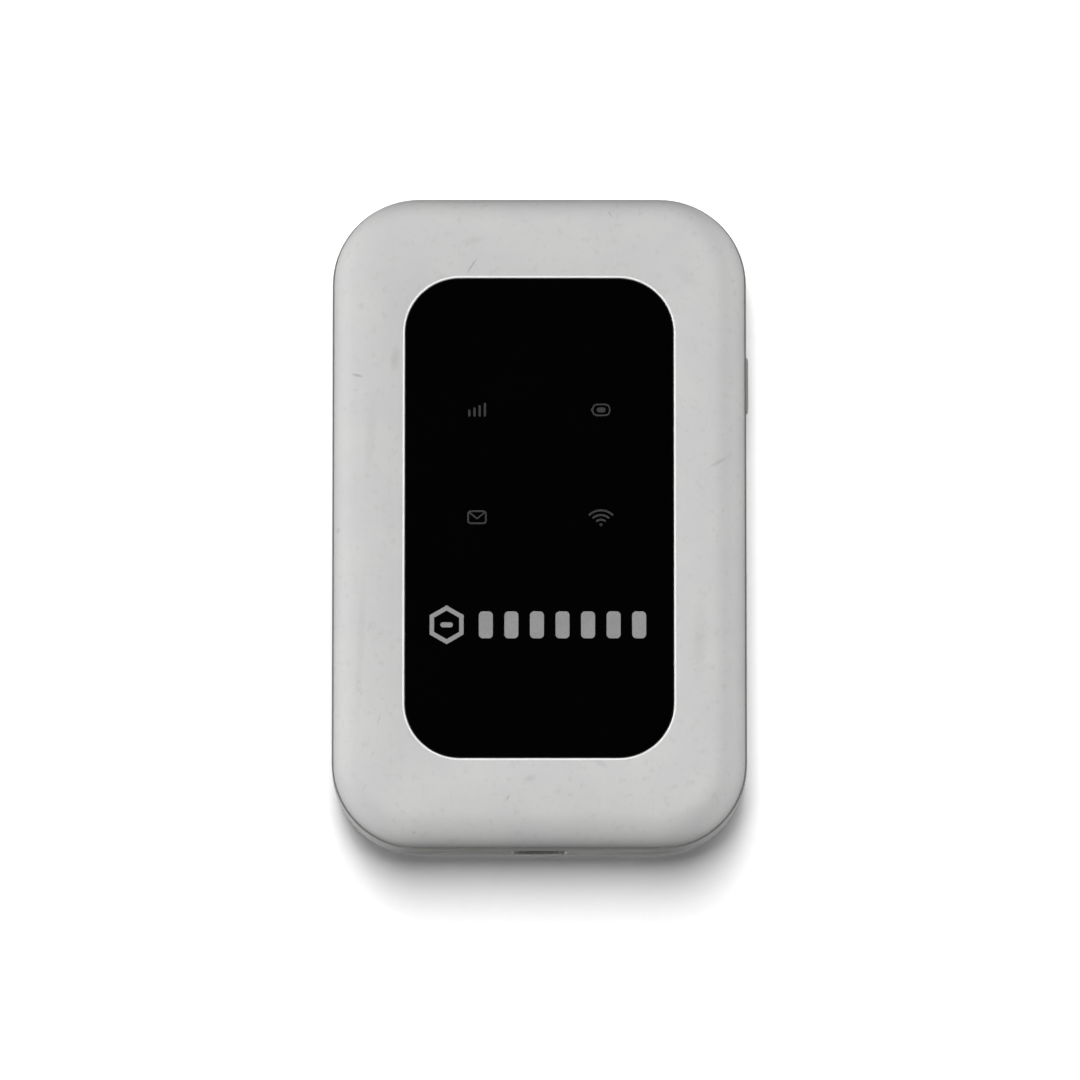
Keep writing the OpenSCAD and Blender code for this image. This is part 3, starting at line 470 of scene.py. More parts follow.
# %% Write the recipe
def grained(name, light, dark, rough, grain_mm, depth_mm, patch_mm=4.0, stretch=(1, 1, 1), **values):
    """Two close shades with a fine grain, which a stretch draws out as rolling or brushing does."""
    material, tree, shader, where = finish(name, **values)
    drawn_out = add(tree, "ShaderNodeMapping", {"Vector": where, "Scale": stretch})
    patches = add(tree, "ShaderNodeTexNoise", {
        "Vector": where, "Scale": per_mm(patch_mm), "Detail": 4, "Roughness": 0.6})
    grain = add(tree, "ShaderNodeTexNoise", {"Vector": drawn_out, "Scale": per_mm(grain_mm), "Detail": 2})
    both = add(tree, "ShaderNodeMath", {0: patches, 1: grain}, operation="MULTIPLY")
    level = add(tree, "ShaderNodeMapRange", {"Value": both, "From Min": 0.14, "From Max": 0.36})
    colour = add(tree, "ShaderNodeMix", {0: level, 6: paint(dark), 7: paint(light)}, data_type="RGBA")
    gloss = add(tree, "ShaderNodeMapRange", {
        "Value": patches, "From Min": 0.3, "From Max": 0.7, "To Min": rough - 0.06, "To Max": rough + 0.06})
    texture = add(tree, "ShaderNodeBump", {"Height": grain, "Strength": 0.5, "Distance": depth_mm * MM})
    feed(shader, {"Base Color": colour.outputs[2], "Roughness": gloss, "Normal": texture})
    return material


print("recipe:", grained.__doc__)

# %% [markdown]
# The moulded plastics take the IOR of their resin, from 1.49 for acrylic to 1.58
# for polycarbonate, and the rest keep the usual 1.5. A moulded grain is drawn 0.2
# to 0.4 mm wide. Fired and pressed powders are finer, and most are rougher.

# %% Mix plastics, inks and papers
# Grey ABS of the button, moulded like the case.
GREY_ABS = grained("moulded_grey_abs", "#A0A09F", "#949493", 0.4, 0.35, 0.015, IOR=1.53)
# A bright bead that shows as a thin white line from every side.
BRIGHT_TRIM = grained("satin_silver_trim", "#FBFBFA", "#F3F3F2", 0.3, 0.2, 0.002)
# Screen ink behind acrylic keeps the acrylic's gloss and IOR.
ICON_INK = grained("screen_ink_dim_grey", "#434343", "#3A3A3A", 0.16, 0.3, 0.001, IOR=1.49)
MARK_INK = grained("screen_ink_silver_grey", "#989898", "#8E8E8E", 0.2, 0.3, 0.001, IOR=1.49)
BLACK_INK = grained("screen_ink_black", "#2C2C2E", "#232325", 0.4, 0.3, 0.001)
BLACK_NYLON = grained("moulded_black_nylon", "#1C1C1D", "#121213", 0.5, 0.2, 0.01, IOR=1.53)
DARK_CASE = grained("moulded_dark_polycarbonate", "#2E2E30", "#212123", 0.4, 0.25, 0.008, IOR=1.58)
RED_NYLON = grained("moulded_red_nylon", "#B03A2E", "#8E2B22", 0.45, 0.2, 0.008, IOR=1.53)
CHIP_EPOXY = grained("moulded_chip_epoxy", "#232325", "#171718", 0.62, 0.12, 0.01, 2)
FERRITE = grained("sintered_ferrite", "#3A3A3C", "#28282A", 0.7, 0.15, 0.02, 2)
FOAM = grained("closed_cell_foam_tape", "#1A1A1A", "#0E0E0E", 0.9, 0.2, 0.04, 2)
SILICONE = grained("soft_grey_silicone", "#8B99A8", "#74828F", 0.75, 0.4, 0.02, 3)
FILM = grained("frosted_polyester", "#EDEDEC", "#DFDFDE", 0.6, 0.15, 0.004)
CERAMIC = grained("fired_ceramic", "#C9B48A", "#A88F62", 0.5, 0.15, 0.006, 1)
CARD = grained("satin_white_card", "#E6E6E1", "#DADAD4", 0.36, 0.3, 0.003)
WRAP = grained("printed_shrink_wrap", "#26282C", "#1B1C20", 0.3, 3.0, 0.05, 9, IOR=1.54)
PAPER = grained("coated_label_paper", "#E2E2DE", "#D4D4CF", 0.5, 0.5, 0.006)
print("plastics:", GREY_ABS.name, BLACK_NYLON.name, DARK_CASE.name, RED_NYLON.name)
print("inks and papers:", ICON_INK.name, MARK_INK.name, BLACK_INK.name, PAPER.name)

# %% [markdown]
# Sheet steel is rolled, which draws its grain out into lines. The same noise shows
# that when it is squeezed along one axis. Metals keep the default IOR, because
# their colour already says how they reflect.

# %% Mix metals
ROLLED = (1, 0.06, 1)
NICKEL = grained("nickel_plated_steel", "#CFCBC4", "#A9A59D", 0.26, 0.25, 0.004, 4, ROLLED, Metallic=1)
TIN = grained("rolled_tinned_steel", "#C6C7C6", "#A2A3A2", 0.38, 0.3, 0.006, 6, ROLLED, Metallic=1)
GOLD = grained("gold_flash", "#E8C070", "#C79A48", 0.24, 0.2, 0.003, Metallic=1)
COPPER = grained("etched_copper_film", "#D08A60", "#A8623C", 0.34, 0.3, 0.003, Metallic=1)
BLACK_ZINC = grained("black_zinc_steel", "#5A5A5E", "#3A3A3E", 0.3, 0.15, 0.004, Metallic=1)
print("metals:", NICKEL.name, TIN.name, GOLD.name, COPPER.name, BLACK_ZINC.name)

# %% [markdown]
# ## Circuit board
#
# A board is glass cloth in epoxy under a green solder mask. Copper tracks under
# the mask make it lighter and lift it slightly. Tracks could be modelled one by
# one, but only glimpses of the board show, so a pattern is enough. Bricks turned
# to 45 degrees give parallel tracks, and the middles of Voronoi cells give the
# small round vias that join one copper layer to the next.

# %% Mix the solder mask
def solder_mask():
    """Green mask over tracks 0.4 mm wide, with scattered vias."""
    material, tree, shader, where = finish("green_solder_mask", IOR=1.55)
    turned = add(tree, "ShaderNodeMapping", {"Vector": where, "Rotation": (0, 0, math.radians(45))})
    tracks = add(tree, "ShaderNodeTexBrick", {
        "Vector": turned, "Scale": per_mm(1), "Mortar Size": 0.12, "Brick Width": 6, "Row Height": 0.5})
    cells = add(tree, "ShaderNodeTexVoronoi", {"Vector": where, "Scale": per_mm(2.4), "Randomness": 0.8})
    vias = add(tree, "ShaderNodeMapRange", {
        "Value": cells, "From Min": 0.1, "From Max": 0.13, "To Min": 1, "To Max": 0})
    mask = add(tree, "ShaderNodeMix", {
        0: tracks.outputs["Fac"], 6: paint("#1F6B45"), 7: paint("#12472D")}, data_type="RGBA")
    colour = add(tree, "ShaderNodeMix", {0: vias, 6: mask.outputs[2], 7: paint("#B9A36A")},
                 data_type="RGBA")
    lift = add(tree, "ShaderNodeBump", {
        "Height": tracks.outputs["Fac"], "Strength": 0.5, "Distance": 0.02 * MM}, invert=True)
    feed(shader, {"Base Color": colour.outputs[2], "Roughness": 0.3, "Normal": lift})
    return material


SOLDER_MASK = solder_mask()
print("finish:", SOLDER_MASK.name)

# %% [markdown]
# ## Front shell
#
# The front shell is a shallow lid. Its section starts in the middle of the panel
# recess, climbs the recess wall and the bevel, crosses the flat face, rounds the
# 5 mm edge down to the rim, and comes back along the inside. A sheet with a
# Solidify modifier could be a lid too, but its recess would be as thin as its
# wall. Lofting the one section keeps the edge a true arc all the way round.

# %% Draw the front shell's section
FRONT_ROUND = 5
RIM_Z = 9.6
EDGE = 0.12
BEVEL = 0.35
PANEL_W = panel_high.x - panel_low.x
PANEL_L = panel_high.y - panel_low.y
PANEL_R = 8.1
RECESS = (PANEL_W + 0.2, PANEL_L + 0.2, PANEL_R + 0.1)
RECESS_Z = panel_low.z - 0.15
FLOOR_Z = RECESS_Z - 1.2
COVER = (COVER_W, COVER_L, CORNER_R - (BODY_W - COVER_W) / 2)
TONGUE_ROOM = (0.55, 10.2)

recess_section = [(0, RECESS_Z), (0, TOP_Z - BEVEL),
                  (-BEVEL + 0.03, TOP_Z - 0.03), (-BEVEL - 0.05, TOP_Z)]
outer_section = (arc(FRONT_ROUND, TOP_Z - FRONT_ROUND, FRONT_ROUND, 90, 0, 20)
                 + arc(EDGE, RIM_Z + EDGE, EDGE, 0, -90, 4))
room_inset, room_z = TONGUE_ROOM
inner_round = FRONT_ROUND - WALL
inner_start = math.degrees(math.asin((room_z - TOP_Z + FRONT_ROUND) / inner_round))
inner_section = ([(room_inset, RIM_Z), (room_inset, room_z)]
                 + arc(FRONT_ROUND, TOP_Z - FRONT_ROUND, inner_round, inner_start, 90, 10))
floor_section = [(-1.2, TOP_Z - WALL), (-1.2, FLOOR_Z)]
print("section points:", len(recess_section + outer_section + inner_section + floor_section))

# %% [markdown]
# The recess and the outside follow two different outlines, so each part of the
# section is turned into rings inside its own. The four light windows under the
# icons aren't rings, so they are cut afterwards.

# %% Loft the front shell and cut its windows
ICONS = {"signal": (-9.15, 16.0), "battery": (9.1, 16.0), "message": (-9.15, 0.0), "wifi": (9.05, 0.0)}
WINDOW_R, WINDOW_DEPTH = 2.4, 4

front_shell = mesh_piece("front_shell", loft(
    rings_of(recess_section, *RECESS) + rings_of(outer_section, *COVER)
    + rings_of(inner_section, *COVER) + rings_of(floor_section, *RECESS)), WHITE_ABS)
for x, y in ICONS.values():
    bar = bmesh.new()
    bmesh.ops.create_cone(bar, cap_ends=True, segments=32, radius1=WINDOW_R, radius2=WINDOW_R,
                          depth=WINDOW_DEPTH, matrix=Matrix.Translation((x, y, (FLOOR_Z + RECESS_Z) / 2)))
    combine(front_shell, mesh_piece("window", bar, WHITE_ABS), "DIFFERENCE")
place(front_shell, "case", "white_casing", "front_cover")

# %% [markdown]
# ## Panel
#
# The acrylic panel is cut to shape and its edge flame-polished, which leaves a
# tiny soft curve where a corner would be. A bevelled copy of the measured panel
# would do, but the loft gives an even arc with no booleans: two flat faces and
# one small curve.

# %% Build the panel
PANEL_EDGE = 0.12
panel_section = ([(0.05, panel_low.z), (0, panel_low.z + 0.05)]
                 + arc(PANEL_EDGE, panel_high.z - PANEL_EDGE, PANEL_EDGE, 0, 90, 5))
panel = mesh_piece("acrylic_panel", loft(rings_of(panel_section, PANEL_W, PANEL_L, PANEL_R)),
                   BLACK_ACRYLIC)
place(panel, "case", "black_panel", "lens_panel")

# %% [markdown]
# ## Growing pieces with Geometry Nodes
#
# Whatever follows a path or repeats could be modelled once and copied by hand, but
# each change would then mean copying again. Geometry Nodes keep it as a rule. Each
# tree below has its sizes as named inputs in millimetres. The functions here start
# a tree and end it the same way each time: real geometry, metres, one material.
# Then the tree is run once, so that a plain mesh is left.

# %% Start a tree and grow a piece
def new_tree(name, **sizes):
    """A Geometry Nodes tree with named inputs; returns it and its inputs."""
    tree = bpy.data.node_groups.new(name, "GeometryNodeTree")
    tree.interface.new_socket("Geometry", in_out="INPUT", socket_type="NodeSocketGeometry")
    for size_name, value in sizes.items():
        kind = {int: "NodeSocketInt", float: "NodeSocketFloat", type(None): "NodeSocketObject"}[type(value)]
        socket = tree.interface.new_socket(size_name, in_out="INPUT", socket_type=kind)
        if value is not None:
            socket.default_value = value
    tree.interface.new_socket("Geometry", in_out="OUTPUT", socket_type="NodeSocketGeometry")
    return tree, add(tree, "NodeGroupInput", {}).outputs


def end_tree(tree, geometry):
    """Realizes a tree's geometry, turns its millimetres into metres and sets its material."""
    socket = tree.interface.new_socket("Finish", in_out="INPUT", socket_type="NodeSocketMaterial")
    real = add(tree, "GeometryNodeRealizeInstances", {"Geometry": geometry})
    metres = add(tree, "GeometryNodeTransform", {"Geometry": real, "Scale": (MM, MM, MM)})
    late_inputs = add(tree, "NodeGroupInput", {}).outputs
    dressed = add(tree, "GeometryNodeSetMaterial", {"Geometry": metres, "Material": late_inputs["Finish"]})
    add(tree, "NodeGroupOutput", {0: dressed})
    return tree


def grow(name, tree, seed, material, **sizes):
    """Runs a tree on a seed mesh, and leaves a plain mesh piece."""
    piece = bpy.data.objects.new(name, seed)
    scene.collection.objects.link(piece)
    growth = piece.modifiers.new("growth", "NODES")
    growth.node_group = tree
    sizes["Finish"] = material
    for item in tree.interface.items_tree:
        if item.in_out == "INPUT" and item.name in sizes:
            growth[item.identifier] = sizes[item.name]
    return settle(piece)


print("trees so far:", len(bpy.data.node_groups))

# %% [markdown]
# ## Trim bead
#
# The bright line round the panel is a thin bead pressed into the bevel. A bead is
# one small circle carried along one outline, and that is just what Curve to Mesh
# does. A loft could do it too, but it would need a ring for each step round the
# circle, where here the circle's points are one number.

# %% Grow the trim bead
def bead_tree():
    """A round bead that follows a rounded rectangle."""
    tree, size = new_tree("bead_round_outline", Width=40.0, Length=72.0, Corner=8.0, Bead=0.2, Height=14.8)
    outline = add(tree, "GeometryNodeCurvePrimitiveQuadrilateral", {
        "Width": size["Width"], "Height": size["Length"]})
    rounded = add(tree, "GeometryNodeFilletCurve", {
        "Curve": outline, "Radius": size["Corner"], "Limit Radius": True, "Count": 24}, mode="POLY")
    lift = add(tree, "ShaderNodeCombineXYZ", {"Z": size["Height"]})
    raised = add(tree, "GeometryNodeTransform", {"Geometry": rounded, "Translation": lift})
    bead = add(tree, "GeometryNodeCurvePrimitiveCircle", {"Resolution": 12, "Radius": size["Bead"]})
    return end_tree(tree, add(tree, "GeometryNodeCurveToMesh", {"Curve": raised, "Profile Curve": bead}))


BEAD, BEAD_SUNK = 0.18, 0.005
trim = grow("panel_trim", bead_tree(), bpy.data.meshes.new("empty"), BRIGHT_TRIM,
            Width=RECESS[0] + 2 * BEAD, Length=RECESS[1] + 2 * BEAD, Corner=RECESS[2] + BEAD,
            Bead=BEAD, Height=TOP_Z - BEAD - BEAD_SUNK)
place(trim, "case", "white_casing")
print("panel_trim:", len(trim.data.polygons), "faces round the panel")

# %% [markdown]
# ## Icons
#
# The icons are screen-printed lines of ink. A texture on the panel could carry
# them, but it blurs close up and a mesh stays sharp. So each is a drawing of bare
# edges, and one tree turns any such drawing into round-ended strokes pressed flat,
# the way a pen would. Signal, battery, message and wireless are common signs that
# belong to no maker. The strokes lie on the acrylic, because it is opaque here.

# %% Draw with strokes
def drawing(*lines, at=(0, 0)):
    """A mesh of bare edges, one chain for each line; a line that ends where it starts is closed."""
    bm = bmesh.new()
    for line in lines:
        looped = line[0] == line[-1]
        verts = [bm.verts.new((x + at[0], y + at[1], 0)) for x, y in line[:len(line) - looped]]
        for first, second in zip(verts, verts[1:] + verts[:looped]):
            bm.edges.new((first, second))
    mesh = bpy.data.meshes.new("drawing")
    bm.to_mesh(mesh)
    bm.free()
    return mesh


def curve_of(x, y, radius, start, end, steps=12):
    """Points on an arc round (x, y), in degrees anticlockwise from +X."""
    turns = [math.radians(start + (end - start) * step / steps) for step in range(steps + 1)]
    return [(x + radius * math.cos(turn), y + radius * math.sin(turn)) for turn in turns]


def rounded(half_w, half_h, radius, steps=5):
    """A closed rounded rectangle as one line of points."""
    line = []
    for quarter, (sx, sy) in enumerate(QUARTERS):
        middle = (sx * (half_w - radius), sy * (half_h - radius))
        line += curve_of(*middle, radius, 90 * quarter, 90 * quarter + 90, steps)
    return line + line[:1]


print("points in a rounded line:", len(rounded(1, 1, 0.2)))

# %% [markdown]
# The pen's circle leaves a square end where a line stops, so a ball goes on each
# end. Line and balls are then pressed flat together, which keeps the ends round.

# %% Write the stroke tree
def stroke_tree():
    """Round-ended strokes along the edges of a drawing, pressed flat at a height."""
    tree, size = new_tree("flat_strokes", Stroke=0.3, Thickness=0.02, Height=15.0)
    lines = add(tree, "GeometryNodeMeshToCurve", {"Mesh": size["Geometry"]})
    radius = add(tree, "ShaderNodeMath", {0: size["Stroke"], 1: 0.5}, operation="MULTIPLY")
    pen = add(tree, "GeometryNodeCurvePrimitiveCircle", {"Resolution": 12, "Radius": radius})
    strokes = add(tree, "GeometryNodeCurveToMesh", {
        "Curve": lines, "Profile Curve": pen, "Fill Caps": True})
    ends = add(tree, "GeometryNodeCurveEndpointSelection", {})
    ball = add(tree, "GeometryNodeMeshUVSphere", {"Segments": 12, "Rings": 8, "Radius": radius})
    caps = add(tree, "GeometryNodeInstanceOnPoints", {
        "Points": lines, "Selection": ends, "Instance": ball})
    both = add(tree, "GeometryNodeJoinGeometry", {"Geometry": [strokes, caps]})
    squash = add(tree, "ShaderNodeMath", {0: size["Thickness"], 1: size["Stroke"]}, operation="DIVIDE")
    scale = add(tree, "ShaderNodeCombineXYZ", {"X": 1, "Y": 1, "Z": squash})
    lift = add(tree, "ShaderNodeCombineXYZ", {"Z": size["Height"]})
    real = add(tree, "GeometryNodeRealizeInstances", {"Geometry": both})
    flat = add(tree, "GeometryNodeTransform", {"Geometry": real, "Translation": lift, "Scale": scale})
    return end_tree(tree, flat)


STROKES = stroke_tree()
INK_Z = panel_high.z
INK_T = 0.03
print("tree:", STROKES.name, "with", len(STROKES.nodes), "nodes")

# %% [markdown]
# The four signs are drawn with straight lines, arcs and rounded rectangles, in
# millimetres from the middle of each window. Round ends add half a stroke, so the
# bars are drawn that much shorter at both ends.

# %% Draw the four signs
BAR_STEP, BAR_W, BAR_FOOT = 0.76, 0.34, -1.02
BAR_HEIGHTS = (1.1, 1.4, 1.75, 2.1)
bars = []
for i, height in enumerate(BAR_HEIGHTS):
    x = (i - 1.5) * BAR_STEP
    bars.append([(x, BAR_FOOT + BAR_W / 2), (x, BAR_FOOT + height - BAR_W / 2)])
WAVE_Y = -1.42
arcs = [curve_of(0, WAVE_Y, radius, 90 - spread, 90 + spread)
        for radius, spread in ((1.05, 35), (1.75, 40), (2.45, 43))]
arc_dot = [[(0, -1.1), (0.01, -1.1)]]
envelope = [rounded(1.3, 0.9, 0.4), [(-1.12, 0.72), (0, -0.2), (1.12, 0.72)]]
cell_sign = [rounded(1.25, 0.82, 0.62, 2)]
charge_sign = [rounded(0.42, 0.12, 0.1)]
nub_sign = [[(-1.36, -0.1), (-1.36, 0.1)]]
print("lines drawn:", len(bars + arcs + arc_dot + envelope + cell_sign + charge_sign + nub_sign))

# %% Print the four icons
for sign, place_name, lines, stroke in (
        ("signal_icon", "signal", bars, BAR_W), ("wifi_icon", "wifi", arcs, 0.3),
        ("wifi_icon_dot", "wifi", arc_dot, 0.42),
        ("message_icon", "message", envelope, 0.26), ("battery_icon", "battery", cell_sign, 0.24),
        ("battery_icon_nub", "battery", nub_sign, 0.3), ("battery_icon_fill", "battery", charge_sign, 0.5)):
    icon = grow(sign, STROKES, drawing(*lines, at=ICONS[place_name]), ICON_INK,
                Stroke=stroke, Thickness=INK_T, Height=INK_Z)
    place(icon, "case", "white_film")

# %% [markdown]
# ## Marks below the icons
#
# Below the icons, such panels carry a printed row. Here it is a neutral row that
# says nothing: a hexagon with a bar, and seven equal rounded blocks. An Array
# modifier could repeat one block too, but a Mesh Line with a block on each point
# stays centred on its own middle when the number or the pitch changes.

# %% Write the tree for a row
def row_tree():
    """A row of equal rounded plates, centred on a point."""
    tree, size = new_tree("row_of_plates", Count=7, Pitch=3.6, Width=2.8, Length=4.1, Corner=0.5,
                          Thickness=0.03, X=0.0, Y=0.0, Z=0.0)
    outline = add(tree, "GeometryNodeCurvePrimitiveQuadrilateral", {
        "Width": size["Width"], "Height": size["Length"]})
    rounded = add(tree, "GeometryNodeFilletCurve", {
        "Curve": outline, "Radius": size["Corner"], "Limit Radius": True, "Count": 6}, mode="POLY")
    face = add(tree, "GeometryNodeFillCurve", {"Curve": rounded}, mode="NGONS")
    plate = add(tree, "GeometryNodeExtrudeMesh", {
        "Mesh": face, "Offset Scale": size["Thickness"], "Individual": False})
    base = add(tree, "GeometryNodeFlipFaces", {"Mesh": face})
    solid = add(tree, "GeometryNodeMergeByDistance", {
        "Geometry": add(tree, "GeometryNodeJoinGeometry", {"Geometry": [plate, base]}), "Distance": 0.001})
    step = add(tree, "ShaderNodeCombineXYZ", {"X": size["Pitch"]})
    steps = add(tree, "ShaderNodeMath", {0: size["Count"], 1: 1}, operation="SUBTRACT")
    back = add(tree, "ShaderNodeMath", {0: steps, 1: size["Pitch"]}, operation="MULTIPLY")
    half = add(tree, "ShaderNodeMath", {0: back, 1: 0.5}, operation="MULTIPLY")
    first = add(tree, "ShaderNodeMath", {0: size["X"], 1: half}, operation="SUBTRACT")
    start = add(tree, "ShaderNodeCombineXYZ", {"X": first, "Y": size["Y"], "Z": size["Z"]})
    points = add(tree, "GeometryNodeMeshLine", {
        "Count": size["Count"], "Start Location": start, "Offset": step})
    return end_tree(tree, add(tree, "GeometryNodeInstanceOnPoints", {"Points": points, "Instance": solid}))


ROW = row_tree()
print("tree:", ROW.name, "with", len(ROW.nodes), "nodes")

# %% Print the row of marks
MARK_Y = -16.0
marks = grow("mark_blocks", ROW, bpy.data.meshes.new("empty"), MARK_INK,
             Count=7, Pitch=3.75, Width=2.05, Length=4.0, Corner=0.6, Thickness=INK_T / 2,
             X=3.4, Y=MARK_Y, Z=INK_Z)
place(marks, "case", "white_film")

HEXAGON_X, HEXAGON_R, HEXAGON_STROKE = -13.6, 2.5, 0.75
hexagon = curve_of(0, 0, HEXAGON_R, 90, 450, 6)
hexagon[-1] = hexagon[0]
for name, line in (("mark_outline", hexagon), ("mark_core", [(-0.55, 0), (0.55, 0)])):
    mark = grow(name, STROKES, drawing(line, at=(HEXAGON_X, MARK_Y)), MARK_INK,
                Stroke=HEXAGON_STROKE, Thickness=INK_T, Height=INK_Z)
    place(mark, "case", "white_film")

# %% [markdown]
# ## Softened copies of measured pieces
#
# Where a frame node already has the right shape, only its edges are too sharp.
# Real moulded and stamped edges catch a thin line of light. Lofting each piece
# again would add nothing but that line. So a copy of the node is merged, its flat
# triangles are joined, and a narrow Bevel rounds the edges that are left.

# %% Soften a node
MERGE, FLAT_ANGLE, BEVEL_ANGLE = 0.0005, 0.4, 35


def softened(name, node, material, slot, width=0.08, segments=2):
    """A copy of a frame node with its sharp edges rounded by width millimetres."""
    source = frame["nodes"][node]
    bm = bmesh.new()
    bm.from_mesh(source.data)
    bmesh.ops.scale(bm, vec=(1 / MM,) * 3, verts=bm.verts)
    bmesh.ops.remove_doubles(bm, verts=bm.verts, dist=MERGE)
    bmesh.ops.dissolve_limit(bm, angle_limit=math.radians(FLAT_ANGLE), verts=bm.verts, edges=bm.edges)
    piece = mesh_piece(name, bm, material)
    bevel = piece.modifiers.new("edges", "BEVEL")
    bevel.limit_method = "ANGLE"
    bevel.angle_limit = math.radians(BEVEL_ANGLE)
    bevel.width = width * MM
    bevel.segments = segments
    bevel.use_clamp_overlap = True
    return place(settle(piece), source["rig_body"], slot, node)


print("edges are softened above", BEVEL_ANGLE, "degrees")

# %% [markdown]
# ## Middle shell
#
# The middle shell carries everything. From outside, only a thin band of it shows
# under the front shell, with the button's slot and the socket's opening in it. It
# could be lofted and cut like the front, but its bay, ledges, bosses and hook
# pockets would need dozens of cuts. All of them are already measured, so a
# softened copy is both simpler and truer.

# %% Build the middle shell
softened("middle_shell", "rear_housing", WHITE_ABS, "white_casing", 0.1)

# %% [markdown]
# ## Battery cover
#
# The cover is a shallow dish with a 4 mm round edge that matches the front. It is
# lofted like the front shell, and then gets its snap hooks. Hooks, ribs and screws
# repeat at uneven places and turns, so an Array won't do. One tree sets a part out
# on marked points instead, and each point carries its own turn.

# %% Write the setting-out tree
def setting_out_tree():
    """Copies a part onto each point of a mesh, turned about Z by the point's own angle."""
    tree, size = new_tree("part_on_marked_points", Part=None, Scale=1.0)
    part = add(tree, "GeometryNodeObjectInfo", {"Object": size["Part"], "As Instance": True})
    angle = add(tree, "GeometryNodeInputNamedAttribute", {"Name": "turn"}, data_type="FLOAT")
    turn = add(tree, "ShaderNodeCombineXYZ", {"Z": angle})
    return end_tree(tree, add(tree, "GeometryNodeInstanceOnPoints", {
        "Points": size["Geometry"], "Instance": part.outputs["Geometry"],
        "Rotation": turn, "Scale": size["Scale"]}))


SETTING_OUT = setting_out_tree()


def set_out(name, bm, points, material):
    """One piece made of a part, drawn at the origin, on each (x, y, z, turn in degrees)."""
    part = mesh_piece(name + "_part", bm, material)
    part.data.transform(Matrix.Scale(1 / MM, 4))
    marked = bpy.data.meshes.new("marked_points")
    marked.from_pydata([point[:3] for point in points], [], [])
    turns = marked.attributes.new("turn", "FLOAT", "POINT")
    turns.data.foreach_set("value", [math.radians(point[3]) for point in points])
    piece = grow(name, SETTING_OUT, marked, material, Part=part)
    bpy.data.objects.remove(part)
    return piece


def block(low, high):
    """A closed box between two corners."""
    bm = bmesh.new()
    bmesh.ops.create_cube(bm, size=1)
    size = Vector(high) - Vector(low)
    bmesh.ops.scale(bm, vec=size, verts=bm.verts)
    bmesh.ops.translate(bm, vec=Vector(low) + size / 2, verts=bm.verts)
    return bm


print("tree:", SETTING_OUT.name, "with", len(SETTING_OUT.nodes), "nodes")

# %% Loft the battery cover
REAR_ROUND = 4
COVER_T = 1.2

dish_section = (arc(REAR_ROUND, REAR_ROUND, REAR_ROUND, -90, -2, 16)
                + arc(EDGE, REAR_ROUND - EDGE, EDGE, 0, 90, 3)
                + arc(REAR_ROUND, REAR_ROUND, REAR_ROUND - COVER_T, 0, -90, 10))
back_cover = mesh_piece("back_cover", loft(rings_of(dish_section, BODY_W, BODY_L, CORNER_R)), WHITE_ABS)
print("cover section points:", len(dish_section))

# %% [markdown]
# A snap hook is a short springy wall with a nub that clicks into a pocket of the
# middle shell. It stands inside the wall, on a foot that grows out of the cover's
# edge. Ten of them sit where the pockets are. A fingernail notch, cut low in the
# left side, is where a hand lifts the cover.

# %% Add the hooks and the notch
INNER_W = BODY_W - 2 * WALL
INNER_L = BODY_L - 2 * WALL
SIDE_HOOKS, TOP_HOOKS, BOTTOM_HOOKS = (-30, 2, 31), (-7, 7), (-11, 11)
HOOK_PLACES = ([(INNER_W / 2, y, 0, 0) for y in SIDE_HOOKS]
               + [(-INNER_W / 2, y, 0, 180) for y in SIDE_HOOKS]
               + [(x, INNER_L / 2, 0, 90) for x in TOP_HOOKS]
               + [(x, -INNER_L / 2, 0, -90) for x in BOTTOM_HOOKS])
HOOK_WALL = ((-1.05, -3, 2.8), (-0.15, 3, 5.6))
HOOK_FOOT = ((-1.0, -2.9, 2.85), (0.6, 2.9, 3.7))
HOOK_NUB = ((-1.0, -2.9, 4.95), (-0.05, 2.9, 5.25))

hook = mesh_piece("hook", block(*HOOK_WALL), WHITE_ABS)
combine(hook, mesh_piece("foot", block(*HOOK_FOOT), WHITE_ABS), "UNION")
combine(hook, mesh_piece("nub", block(*HOOK_NUB), WHITE_ABS), "UNION")
combine(back_cover, set_out("hooks", as_drawing(hook), HOOK_PLACES, WHITE_ABS), "UNION")

NOTCH_L, NOTCH_DEPTH = 10, 0.8
NOTCH_Y = -BODY_L / 2 + CORNER_R + 3
notch = block((-BODY_W / 2 - 1, NOTCH_Y, 3.1), (-BODY_W / 2 + NOTCH_DEPTH, NOTCH_Y + NOTCH_L, 5))
combine(back_cover, mesh_piece("notch", notch, WHITE_ABS), "DIFFERENCE")
place(back_cover, "battery_cover", "white_casing", "battery_cover")

# %% [markdown]
# Three low ribs stiffen the lower end, where no battery backs the cover. Each has
# half-round ends and a softened top, so a short stack of rings draws it.

# %% Set out the cover's ribs
RIB_W = BODY_W - 2 * CORNER_R
RIB_COUNT, RIB_PITCH = 3, 5.5
rib = loft([ring(RIB_W, 0.8, 0.38, 1.1), ring(RIB_W, 0.8, 0.38, 2.1), ring(RIB_W - 0.16, 0.64, 0.3, 2.2)])
rib_places = [(0, -BODY_L / 2 + CORNER_R + RIB_PITCH * i, 0, 0) for i in range(RIB_COUNT)]
place(set_out("cover_ribs", rib, rib_places, WHITE_ABS), "battery_cover", "white_casing")

# %% [markdown]
# ## Power button
#
# The button is a small grey key that stands 0.35 mm out of the side. Behind the
# wall it has a flange that keeps it in, and an arm that pushes the switch. A
# bevelled box could be the key, but its outer face is slightly crowned. So it is a
# ring stack like the case: the rings are drawn level, and the finished mesh is
# turned a quarter about Y.

